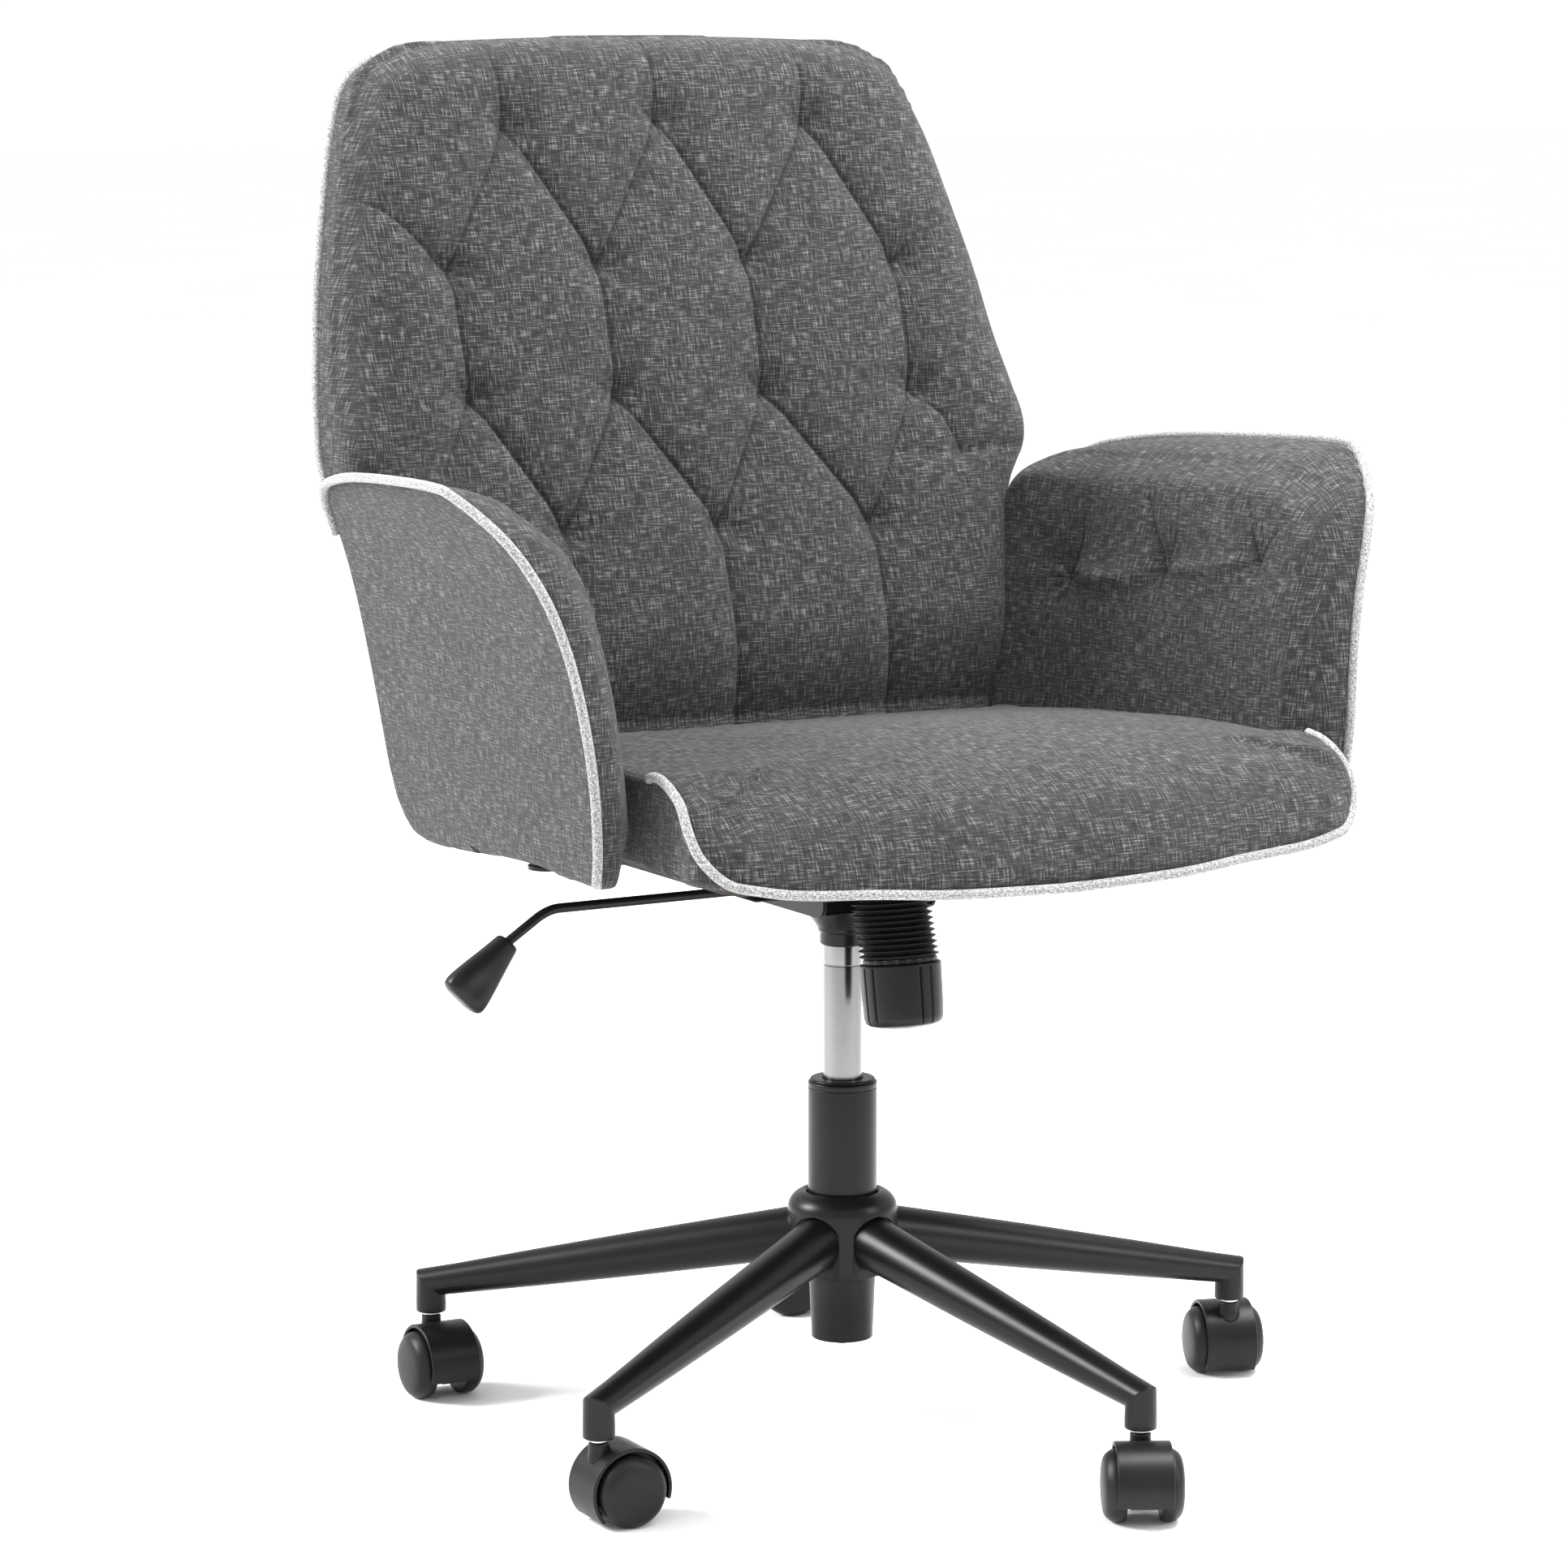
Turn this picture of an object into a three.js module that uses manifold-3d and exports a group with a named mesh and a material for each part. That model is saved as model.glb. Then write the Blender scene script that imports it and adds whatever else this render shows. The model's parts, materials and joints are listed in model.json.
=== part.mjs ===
// Swivel office chair: a padded seat, tufted back and two flared arms on a tilt mechanism,
// a gas lift and a five-leg steel base with twin-wheel castors.
// Millimetres, +Z up. The column's axis is the Z axis, the floor is z = 0 and the sitter faces -Y.
import * as THREE from 'three';
import { mergeVertices } from 'three/addons/utils/BufferGeometryUtils.js';
import Module from 'manifold-3d';

const wasm = await Module();
wasm.setup();

// ---- Driving dimensions ----
const GAP = 0.3; // clearance between pieces that touch or slide

const LEG_COUNT = 5;
const STEM_CIRCLE_RADIUS = 313.5; // castor stems, from the column's axis
const FIRST_LEG_ANGLE = 9.75; // degrees from -Y towards +X
const SOCKET_RADIUS = 10.5;
const SOCKET_BOTTOM = 60.3;
const LEG_TIP_HEIGHT = 82; // where the leg's axis meets the socket's axis
const LEG_ROOT_HEIGHT = 136.5;
const LEG_ROOT_RADIUS = 19;
const LEG_ROOT_REACH = 36.3; // the leg starts this far from the column's axis

const HUB_RADIUS = 40;
const HUB_BOTTOM = 112;
const HUB_SHOULDER = 161;
const HUB_TOP = 171;

const COLUMN_RADIUS = 25;
const COLUMN_FOOT_RADIUS = 22.2;
const COLUMN_BOTTOM = 61.5;
const COLUMN_TOP = 251.5;
const COLUMN_BORE = 21.5;
const CYLINDER_RADIUS = 14;
const CYLINDER_BOTTOM = 168;
const CYLINDER_TOP = 384;
const CYLINDER_BORE_TOP = 344;
const LIFT_TRAVEL = 90; // how far the seat can be lowered
const ROD_RADIUS = 5;

const WHEEL_RADIUS = 25;
const WHEEL_SIDES = 24;
const AXLE_HEIGHT = WHEEL_RADIUS * Math.cos(Math.PI / WHEEL_SIDES); // a flat of the tread is down
const AXLE_OFFSET = 16; // the axle trails the stem by this much
const AXLE_RADIUS = 3;
const WHEEL_INNER = 12; // wheel's inner face, from the castor's middle
const WHEEL_TREAD_END = 20;
const WHEEL_OUTER = 28.4;
const HOOD_RADIUS = 30;
const HOOD_WALL = 2.8;
const HOOD_HALF_WIDTH = 19.2;
const WEB_HALF_WIDTH = 11.5;
const HOOD_TOP = 57.5; // top of the boss that holds the stem
const STEM_RADIUS = 5;
// Which way each castor trails, degrees from +X towards +Y.
const CASTOR_TRAILS = [-118, 71, 150, -92, -1];

const COLLAR_BOTTOM = 351;
const HOUSING_HALF_WIDTH = 47;
const HOUSING_FRONT = -38;
const CHEEK_FRONT = -52; // the housing's side walls run forward beside the bellows
const HOUSING_REAR = 75;
const HOUSING_BOTTOM = 380;
const HOUSING_TOP = 408;
const SHEET = 3; // steel sheet of the mechanism
const PIVOT = { y: 35, z: 399, radius: 5 }; // the seat's tilt axis, along X
const PLATE_BOTTOM = 431.5;
const PLATE_TOP = 434.7;

const SPRING_LEAN = THREE.MathUtils.degToRad(8); // the tension spring's foot leans forwards
const SPRING_SEAT = { y: -72.5, z: 399 }; // where the spring's axis meets the housing's tongue
const BELLOWS_LENGTH = 46;
const BELLOWS_RADIUS = 28.5;
const BELLOWS_FOLDS = 11;
const KNOB_LENGTH = 49;
const KNOB_RADIUS = 29;

const LEVER_HEIGHT = 397;
const LEVER_RADIUS = 3.5;
const LEVER_PIVOT_X = -22;
const LEVER_BEND_X = -238;

const BOARD = { halfWidth: 215, front: -245, rear: 88, bottom: 436.3, top: 447.7 };
const SEAT = { halfFront: 261, halfRear: 225, front: -303, bottom: 437, top: 503 };
const ARM = { bottom: 445, top: 705, front: -198, rear: 204, thickness: 36, sag: 18 };
const FLARE_HEIGHT = 256; // the arms lean out over this height
const BACK_LEAN = Math.atan2(94, 303); // the back leans 94 mm over 303 mm of height
const BACK_ORIGIN = { y: 188, z: 622 }; // a point on the plane of the tufts
const CUSHION_FRONT = -18; // along the back's normal, from the plane of the tufts
const SHELL_FRONT = 45;
const SHELL_REAR = 60;
const EDGE_ROUND = 14; // rounding of the back cushion's edges

// ---- Materials ----
const finish = (color, roughness, metalness) => () =>
  new THREE.MeshStandardMaterial({ color, roughness, metalness });
const coatedSteel = finish(0x151515, 0.38, 0.3);
const brightSteel = finish(0xc9cacc, 0.24, 1.0);
const springSteel = finish(0x55565a, 0.4, 0.9);
const blackPlastic = finish(0x1b1b1c, 0.6, 0.0);
const linen = finish(0x55565a, 0.95, 0.0);
const plywood = finish(0xb08a5a, 0.7, 0.0);
const dustCloth = finish(0x18181a, 1.0, 0.0);

// ---- Shape helpers ----
const up = (geometry) => geometry.rotateX(Math.PI / 2); // turns a Y axis into a Z axis

// A solid of revolution about Z from [radius, height] pairs, outline anticlockwise.
function turned(profile, sides = 24) {
  return up(new THREE.LatheGeometry(profile.map(([r, z]) => new THREE.Vector2(r, z)), sides));
}

// A ring of rectangular section about Z.
function ring(inner, outer, bottom, top, sides = 24) {
  return turned([[inner, bottom], [outer, bottom], [outer, top], [inner, top], [inner, bottom]], sides);
}

function cylinder(radius, bottom, top, sides = 20) {
  return up(new THREE.CylinderGeometry(radius, radius, top - bottom, sides))
    .translate(0, 0, (bottom + top) / 2);
}

// A box from its lowest to its highest corner.
function block([x0, y0, z0], [x1, y1, z1]) {
  return new THREE.BoxGeometry(x1 - x0, y1 - y0, z1 - z0)
    .translate((x0 + x1) / 2, (y0 + y1) / 2, (z0 + z1) / 2);
}

// A block with a grid on each face, whose corners run 0 to 1, bent into shape by place(u, v, w).
function formed(segments, place) {
  const geometry = new THREE.BoxGeometry(1, 1, 1, ...segments).translate(0.5, 0.5, 0.5);
  const points = geometry.attributes.position;
  for (let i = 0; i < points.count; i += 1) {
    points.setXYZ(i, ...place(points.getX(i), points.getY(i), points.getZ(i)));
  }
  return geometry;
}

// A flat outline in X and Y, raised from bottom to top; a bevel swells it out between its ends.
function raised(outline, bottom, top, bevel = 0) {
  return new THREE.ExtrudeGeometry(outline, {
    depth: top - bottom - 2 * bevel,
    bevelEnabled: bevel > 0,
    bevelThickness: bevel,
    bevelSize: bevel,
    bevelSegments: 2,
    curveSegments: 6,
  }).translate(0, 0, bottom + bevel);
}

// A flat outline in X and Y, given thickness to both sides of its plane.
function thick(outline, half) {
  return new THREE.ExtrudeGeometry(outline, { depth: 2 * half, bevelEnabled: false, curveSegments: 8 })
    .translate(0, 0, -half);
}

// An outline whose first axis is Y and second axis is Z, drawn out along X between -half and half.
function drawnAcross(outline, half) {
  return thick(outline, half).rotateX(Math.PI / 2).rotateZ(Math.PI / 2);
}

function toSolid(geometry) {
  const bare = geometry.clone();
  bare.deleteAttribute('normal');
  bare.deleteAttribute('uv');
  const welded = mergeVertices(bare, 1e-4);
  const index = welded.index.array;
  const triangles = [];
  for (let i = 0; i < index.length; i += 3) {
    const [a, b, c] = [index[i], index[i + 1], index[i + 2]];
    if (a !== b && b !== c && c !== a) triangles.push(a, b, c);
  }
  return new wasm.Manifold(new wasm.Mesh({
    numProp: 3,
    vertProperties: new Float32Array(welded.attributes.position.array),
    triVerts: new Uint32Array(triangles),
  }));
}

function fromSolid(solid) {
  const mesh = solid.getMesh();
  const geometry = new THREE.BufferGeometry();
  geometry.setAttribute('position', new THREE.BufferAttribute(mesh.vertProperties, 3));
  geometry.setIndex(new THREE.BufferAttribute(mesh.triVerts, 1));
  geometry.computeVertexNormals();
  return geometry;
}

// The first geometry with the others joined to it.
function joined(first, ...others) {
  return fromSolid(others.reduce((solid, other) => solid.add(toSolid(other)), toSolid(first)));
}

// The first geometry with the others cut out of it.
function cut(first, ...others) {
  return fromSolid(others.reduce((solid, other) => solid.subtract(toSolid(other)), toSolid(first)));
}

function piece(name, geometry, material) {
  const mesh = new THREE.Mesh(geometry, material());
  mesh.name = name;
  return mesh;
}

function mix(a, b, t) {
  return a + (b - a) * t;
}

// ---- Base: hub, legs and castor sockets ----
const legTurn = (index) => THREE.MathUtils.degToRad(FIRST_LEG_ANGLE + (index * 360) / LEG_COUNT);

// Outer radius of the column's lower tube, which tapers into the hub.
function columnRadiusAt(z) {
  const rise = Math.min(1, (z - COLUMN_BOTTOM) / (HUB_TOP - COLUMN_BOTTOM));
  return mix(COLUMN_FOOT_RADIUS, COLUMN_RADIUS, rise);
}

// An arched recess in the hub's side, facing -Y, that a leg grows out of.
function legRecess() {
  const half = LEG_ROOT_RADIUS + 2;
  const arch = new THREE.Shape();
  arch.moveTo(-half, HUB_BOTTOM - 10);
  arch.lineTo(half, HUB_BOTTOM - 10);
  arch.lineTo(half, LEG_ROOT_HEIGHT);
  arch.absarc(0, LEG_ROOT_HEIGHT, half, 0, Math.PI, false);
  return new THREE.ExtrudeGeometry(arch, { depth: 20, bevelEnabled: false, curveSegments: 6 })
    .rotateX(Math.PI / 2)
    .translate(0, -(LEG_ROOT_REACH - GAP), 0);
}

function baseHub() {
  const bore = (z) => columnRadiusAt(z) + GAP;
  const body = turned([
    [bore(HUB_BOTTOM), HUB_BOTTOM],
    [HUB_RADIUS - 2, HUB_BOTTOM],
    [HUB_RADIUS, HUB_BOTTOM + 2],
    [HUB_RADIUS, HUB_SHOULDER],
    [HUB_RADIUS - 4, HUB_SHOULDER + 6],
    [COLUMN_RADIUS + 3, HUB_TOP],
    [bore(HUB_TOP), HUB_TOP - 2],
    [bore(HUB_BOTTOM), HUB_BOTTOM],
  ], 30);
  const recesses = Array.from({ length: LEG_COUNT }, (_, index) => legRecess().rotateZ(legTurn(index)));
  return cut(body, ...recesses);
}

// A leg that runs out along -Y: a round tapered tube, mitred onto an upright socket for the stem.
function baseLeg() {
  const run = STEM_CIRCLE_RADIUS - LEG_ROOT_REACH;
  const drop = LEG_ROOT_HEIGHT - LEG_TIP_HEIGHT;
  const slope = Math.atan2(drop, run);
  const overrun = 20; // the tube passes the mitre before it is cut
  const taper = (LEG_ROOT_RADIUS - SOCKET_RADIUS) / Math.hypot(run, drop);
  const length = Math.hypot(run, drop) + overrun;
  const tube = new THREE.CylinderGeometry(LEG_ROOT_RADIUS, SOCKET_RADIUS - overrun * taper, length, 20)
    .translate(0, -length / 2, 0)
    .rotateX(slope)
    .translate(0, -LEG_ROOT_REACH, LEG_ROOT_HEIGHT);
  const insideHub = block([-40, -LEG_ROOT_REACH, 90], [40, 40, 200]);
  // The mitre's plane halves the corner between the two axes.
  const mitre = (Math.PI / 2 - slope) / 2;
  const slab = (bottom, top) => block([-30, -30, bottom], [30, 30, top])
    .rotateX(-mitre)
    .translate(0, -STEM_CIRCLE_RADIUS, LEG_TIP_HEIGHT);
  const socket = cylinder(SOCKET_RADIUS, SOCKET_BOTTOM, LEG_TIP_HEIGHT + 20)
    .translate(0, -STEM_CIRCLE_RADIUS, 0);
  const bore = cylinder(STEM_RADIUS + GAP, SOCKET_BOTTOM - 5, LEG_TIP_HEIGHT, 12)
    .translate(0, -STEM_CIRCLE_RADIUS, 0);
  const weldOverlap = 0.05;
  return cut(joined(cut(tube, insideHub, slab(-60, -weldOverlap)), cut(socket, slab(0, 60))), bore);
}

// ---- Castors: stem at the local origin, the wheels trailing along +X ----
function castorStem() {
  return turned([
    [0, HOOD_TOP - 14],
    [STEM_RADIUS, HOOD_TOP - 14],
    [STEM_RADIUS, HOOD_TOP + GAP],
    [STEM_RADIUS + 1.8, HOOD_TOP + GAP],
    [STEM_RADIUS + 1.8, SOCKET_BOTTOM - GAP],
    [STEM_RADIUS, SOCKET_BOTTOM - GAP],
    [STEM_RADIUS, LEG_TIP_HEIGHT - 4],
    [STEM_RADIUS - 2, LEG_TIP_HEIGHT - 2],
    [0, LEG_TIP_HEIGHT - 2],
  ], 12);
}

// The hood's curved wall: an arc over the wheels, from just under the axle behind to low in front.
function hoodWall() {
  const start = THREE.MathUtils.degToRad(-8);
  const end = THREE.MathUtils.degToRad(212);
  const outline = new THREE.Shape();
  outline.absarc(0, 0, HOOD_RADIUS, start, end, false);
  outline.absarc(0, 0, HOOD_RADIUS - HOOD_WALL, end, start, true);
  return thick(outline, HOOD_HALF_WIDTH);
}

// The web between the two wheels, cut off level just above the floor.
function hoodWeb() {
  const radius = HOOD_RADIUS - 1.5;
  const low = THREE.MathUtils.degToRad(-35);
  const outline = new THREE.Shape();
  outline.absarc(0, 0, radius, low, Math.PI - low, false);
  return thick(outline, WEB_HALF_WIDTH);
}

function castorHood() {
  const boss = cylinder(STEM_RADIUS + 1.5, AXLE_HEIGHT + 12, HOOD_TOP, 16);
  const stemHole = cylinder(STEM_RADIUS + GAP, HOOD_TOP - 14 - GAP, HOOD_TOP + 5, 12);
  const axleHole = new THREE.CylinderGeometry(AXLE_RADIUS + GAP, AXLE_RADIUS + GAP, 60, 12)
    .translate(AXLE_OFFSET, 0, AXLE_HEIGHT);
  const placed = (geometry) => up(geometry).translate(AXLE_OFFSET, 0, AXLE_HEIGHT);
  return cut(joined(placed(hoodWeb()), placed(hoodWall()), boss), stemHole, axleHole);
}

function castorAxle() {
  const half = WHEEL_OUTER - 6;
  return new THREE.CylinderGeometry(AXLE_RADIUS, AXLE_RADIUS, 2 * half, 12);
}

// One wheel about Z, from its inner face up to its domed outer face.
function castorWheel() {
  const bore = AXLE_RADIUS + GAP;
  const boreEnd = WHEEL_OUTER - 5;
  const geometry = turned([
    [0, boreEnd],
    [bore, boreEnd],
    [bore, WHEEL_INNER],
    [WHEEL_RADIUS - 2, WHEEL_INNER],
    [WHEEL_RADIUS, WHEEL_INNER + 1.5],
    [WHEEL_RADIUS, WHEEL_TREAD_END],
    [WHEEL_RADIUS - 2, WHEEL_TREAD_END + 3],
    [WHEEL_RADIUS * 0.6, WHEEL_OUTER - 1],
    [0, WHEEL_OUTER],
  ], WHEEL_SIDES);
  return geometry.rotateZ(Math.PI / WHEEL_SIDES);
}

function castor(index) {
  const number = index + 1;
  const turn = legTurn(index);
  const group = new THREE.Group();
  group.position.set(STEM_CIRCLE_RADIUS * Math.sin(turn), -STEM_CIRCLE_RADIUS * Math.cos(turn), 0);
  group.rotation.z = THREE.MathUtils.degToRad(CASTOR_TRAILS[index]);
  const hood = piece(`castor_${number}_hood`, castorHood(), blackPlastic);
  const stem = piece(`castor_${number}_stem`, castorStem(), brightSteel);
  const axle = piece(`castor_${number}_axle`, castorAxle(), brightSteel);
  axle.position.set(AXLE_OFFSET, 0, AXLE_HEIGHT);
  const wheels = [['left', Math.PI / 2], ['right', -Math.PI / 2]].map(([side, tilt]) => {
    const wheel = piece(`castor_${number}_wheel_${side}`, castorWheel(), blackPlastic);
    wheel.position.set(AXLE_OFFSET, 0, AXLE_HEIGHT);
    wheel.rotation.x = tilt;
    return wheel;
  });
  group.add(stem, hood, axle, ...wheels);
  return group;
}

// ---- Gas lift ----
function columnTube() {
  return turned([
    [ROD_RADIUS + GAP, COLUMN_BOTTOM],
    [COLUMN_FOOT_RADIUS - 1.5, COLUMN_BOTTOM],
    [columnRadiusAt(COLUMN_BOTTOM + 2), COLUMN_BOTTOM + 2],
    [COLUMN_RADIUS, HUB_TOP],
    [COLUMN_RADIUS, COLUMN_TOP],
    [COLUMN_BORE, COLUMN_TOP],
    [COLUMN_BORE, HUB_TOP],
    [COLUMN_FOOT_RADIUS - 3, COLUMN_BOTTOM + 4],
    [ROD_RADIUS + GAP, COLUMN_BOTTOM + 4],
    [ROD_RADIUS + GAP, COLUMN_BOTTOM],
  ], 28);
}

// The plastic guide that lines the top of the column, with a flange over its rim.
function columnBush() {
  return turned([
    [CYLINDER_RADIUS + GAP, HUB_TOP + 10],
    [COLUMN_BORE - GAP, HUB_TOP + 10],
    [COLUMN_BORE - GAP, COLUMN_TOP + GAP],
    [COLUMN_RADIUS - 1.2, COLUMN_TOP + GAP],
    [COLUMN_RADIUS - 1.8, COLUMN_TOP + 1.8],
    [CYLINDER_RADIUS + GAP, COLUMN_TOP + 1.8],
    [CYLINDER_RADIUS + GAP, HUB_TOP + 10],
  ], 28);
}

const BEARING_BOTTOM = COLUMN_BOTTOM + 4 + GAP;
const BEARING_TOP = BEARING_BOTTOM + 7;

// The rod hangs in the column's foot and carries a shoulder that turns on the thrust bearing.
function gasRod() {
  return turned([
    [0, COLUMN_BOTTOM - 5],
    [ROD_RADIUS - 1, COLUMN_BOTTOM - 5],
    [ROD_RADIUS, COLUMN_BOTTOM - 4],
    [ROD_RADIUS, BEARING_TOP + GAP],
    [ROD_RADIUS + 4, BEARING_TOP + GAP],
    [ROD_RADIUS + 4, BEARING_TOP + 3],
    [ROD_RADIUS, BEARING_TOP + 3],
    [ROD_RADIUS, CYLINDER_BORE_TOP - LIFT_TRAVEL - 2],
    [0, CYLINDER_BORE_TOP - LIFT_TRAVEL - 2],
  ], 12);
}

// The pressure cylinder: open below for the rod, tapered where it enters the mechanism's collar.
function gasCylinder() {
  const bore = CYLINDER_RADIUS - 2.5;
  const pinHole = 4 + GAP;
  return turned([
    [bore, CYLINDER_BOTTOM],
    [CYLINDER_RADIUS, CYLINDER_BOTTOM],
    [CYLINDER_RADIUS, COLLAR_BOTTOM + 2],
    [CYLINDER_RADIUS - 1, CYLINDER_TOP],
    [pinHole, CYLINDER_TOP],
    [pinHole, CYLINDER_TOP - 22],
    [0, CYLINDER_TOP - 22],
    [0, CYLINDER_BORE_TOP],
    [bore, CYLINDER_BORE_TOP],
    [bore, CYLINDER_BOTTOM],
  ], 24);
}

function valveButton() {
  return cylinder(4, CYLINDER_TOP - 16, LEVER_HEIGHT - LEVER_RADIUS - GAP, 12);
}

// ---- Tilt mechanism ----
function pivotHole(radius) {
  return new THREE.CylinderGeometry(radius, radius, 140, 12)
    .rotateZ(Math.PI / 2)
    .translate(0, PIVOT.y, PIVOT.z);
}

// Puts a geometry made about the spring's own axis, its seat at z = 0, where the spring leans.
function onSpringAxis(geometry) {
  return geometry.rotateX(-SPRING_LEAN).translate(0, SPRING_SEAT.y, SPRING_SEAT.z);
}

function tiltHousing() {
  const wide = HOUSING_HALF_WIDTH;
  const tray = block([-wide, HOUSING_FRONT, HOUSING_BOTTOM], [wide, HOUSING_REAR, HOUSING_TOP]);
  const hollow = block(
    [-wide + SHEET, HOUSING_FRONT + SHEET, HOUSING_BOTTOM + SHEET],
    [wide - SHEET, HOUSING_REAR - SHEET, HOUSING_TOP + 10],
  );
  const cheek = (side) => block(
    [Math.min(side * wide, side * (wide - SHEET)), CHEEK_FRONT, HOUSING_BOTTOM],
    [Math.max(side * wide, side * (wide - SHEET)), HOUSING_FRONT + 1, HOUSING_TOP],
  );
  const cone = turned([
    [0, COLLAR_BOTTOM],
    [15.5, COLLAR_BOTTOM],
    [16.5, COLLAR_BOTTOM + 1],
    [16.5, COLLAR_BOTTOM + 11],
    [20, COLLAR_BOTTOM + 17],
    [34, HOUSING_BOTTOM + 1],
    [0, HOUSING_BOTTOM + 1],
  ], 24);
  const taper = cylinder(CYLINDER_RADIUS + GAP, COLLAR_BOTTOM - 5, HOUSING_BOTTOM + SHEET + 5, 24);
  const tongue = onSpringAxis(joined(
    cylinder(BELLOWS_RADIUS + 2, GAP, 4, 24),
    block([-24, 0, GAP], [24, 40, 4]),
  ));
  const boltHole = onSpringAxis(cylinder(11, -10, 12, 16)); // wide, as the bolt swings with the seat
  const leverSlot = block(
    [-wide - 5, -LEVER_RADIUS - 1, LEVER_HEIGHT - 7],
    [-wide + 10, LEVER_RADIUS + 1, LEVER_HEIGHT + 15],
  );
  const shell = joined(cut(tray, hollow), cheek(-1), cheek(1), cone, cut(tongue, hollow));
  return cut(shell, taper, boltHole, leverSlot, pivotHole(PIVOT.radius + GAP));
}

// The plate that the seat bolts onto: four arms round a middle, with ears that hang on the pivot.
function seatPlate() {
  const outline = new THREE.Shape();
  const corners = [[98, 88], [98, 62], [54, 34], [54, -62], [98, -88], [98, -112]];
  outline.moveTo(corners[0][0], corners[0][1]);
  corners.slice(1).forEach(([x, y]) => outline.lineTo(x, y));
  corners.reverse().forEach(([x, y]) => outline.lineTo(-x, y));
  outline.closePath();
  const bolts = [[86, 75], [86, -100], [-86, 75], [-86, -100]].map(([x, y]) =>
    cylinder(3.5, PLATE_BOTTOM - 5, PLATE_TOP + 5, 10).translate(x, y, 0));
  const ear = (side) => {
    const inner = HOUSING_HALF_WIDTH + 1;
    const profile = new THREE.Shape();
    profile.moveTo(PIVOT.y - 24, PLATE_BOTTOM + 1);
    profile.lineTo(PIVOT.y - 10, PIVOT.z - 2);
    profile.absarc(PIVOT.y, PIVOT.z, 10, Math.PI * 1.06, Math.PI * 1.94, false);
    profile.lineTo(PIVOT.y + 24, PLATE_BOTTOM + 1);
    profile.closePath();
    return drawnAcross(profile, SHEET / 2).translate(side * (inner + SHEET / 2), 0, 0);
  };
  return cut(
    joined(raised(outline, PLATE_BOTTOM, PLATE_TOP), ear(-1), ear(1)),
    pivotHole(PIVOT.radius + GAP),
    ...bolts,
  );
}

function pivotPin() {
  const half = HOUSING_HALF_WIDTH + SHEET + 4;
  return new THREE.CylinderGeometry(PIVOT.radius, PIVOT.radius, 2 * half, 12)
    .rotateZ(Math.PI / 2)
    .translate(0, PIVOT.y, PIVOT.z);
}

const WASHER_TOP = -(BELLOWS_LENGTH + GAP); // along the spring's axis, from its upper seat
const KNOB_TOP = WASHER_TOP - 2.5 - GAP;

function tensionBolt() {
  const headTop = (PLATE_BOTTOM - SPRING_SEAT.z) / Math.cos(SPRING_LEAN) - 2;
  return onSpringAxis(turned([
    [0, KNOB_TOP - 30],
    [4, KNOB_TOP - 30],
    [4, headTop - 5],
    [9, headTop - 5],
    [9, headTop],
    [0, headTop],
  ], 12));
}

class Helix extends THREE.Curve {
  constructor(radius, bottom, top, turns) {
    super();
    Object.assign(this, { radius, bottom, top, turns });
  }

  getPoint(t) {
    const angle = t * this.turns * 2 * Math.PI;
    return new THREE.Vector3(
      this.radius * Math.cos(angle),
      this.radius * Math.sin(angle),
      mix(this.bottom, this.top, t),
    );
  }
}

// A round bar along a curve.
function tube(curve, radius, steps, sides) {
  const section = new THREE.Shape();
  section.absarc(0, 0, radius, 0, 2 * Math.PI, false);
  return new THREE.ExtrudeGeometry(section, { steps, extrudePath: curve, curveSegments: sides / 2 });
}

function tensionSpring() {
  const wire = 2;
  return onSpringAxis(tube(new Helix(17, WASHER_TOP + GAP + wire, -wire - GAP, 5), wire, 60, 6));
}

// A pleated rubber sleeve round the spring.
function tensionBellows() {
  const pitch = (BELLOWS_LENGTH - GAP) / BELLOWS_FOLDS;
  const folds = Array.from({ length: BELLOWS_FOLDS }, (_, i) => [
    [BELLOWS_RADIUS - 3, -BELLOWS_LENGTH + i * pitch],
    [BELLOWS_RADIUS, -BELLOWS_LENGTH + (i + 0.5) * pitch],
  ]).flat();
  const bore = BELLOWS_RADIUS - 5;
  return onSpringAxis(turned([
    [bore, -BELLOWS_LENGTH],
    ...folds,
    [BELLOWS_RADIUS - 3, -GAP],
    [bore, -GAP],
    [bore, -BELLOWS_LENGTH],
  ], 16));
}

function springWasher() {
  return onSpringAxis(ring(4 + GAP, BELLOWS_RADIUS - 2, WASHER_TOP - 2.5, WASHER_TOP, 20));
}

function tensionKnob() {
  const bottom = KNOB_TOP - KNOB_LENGTH;
  const bore = 4 + GAP;
  return onSpringAxis(turned([
    [0, bottom],
    [KNOB_RADIUS * 0.55, bottom + 1],
    [KNOB_RADIUS - 2.5, bottom + 4.5],
    [KNOB_RADIUS - 0.8, bottom + 7],
    [KNOB_RADIUS, KNOB_TOP],
    [bore, KNOB_TOP],
    [bore, KNOB_TOP - 36],
    [0, KNOB_TOP - 36],
  ], 24));
}

// The block that the lever pulls sideways to free or lock the tilt, open for the lever to rock in.
function lockSlider() {
  const half = 8;
  const body = block(
    [LEVER_PIVOT_X - half, -9, HOUSING_BOTTOM + SHEET + 0.5],
    [LEVER_PIVOT_X + half, 9, LEVER_HEIGHT + 9],
  );
  const window = block(
    [LEVER_PIVOT_X - half - 5, -LEVER_RADIUS - GAP, LEVER_HEIGHT - 6],
    [LEVER_PIVOT_X + half + 5, LEVER_RADIUS + GAP, LEVER_HEIGHT + 6],
  );
  return cut(body, window);
}

// The lever's path: straight out of the housing, then bent down towards its grip.
const GRIP_TOP = { x: -269, z: 377 };
const GRIP_SLOPE = THREE.MathUtils.degToRad(45);

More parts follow.
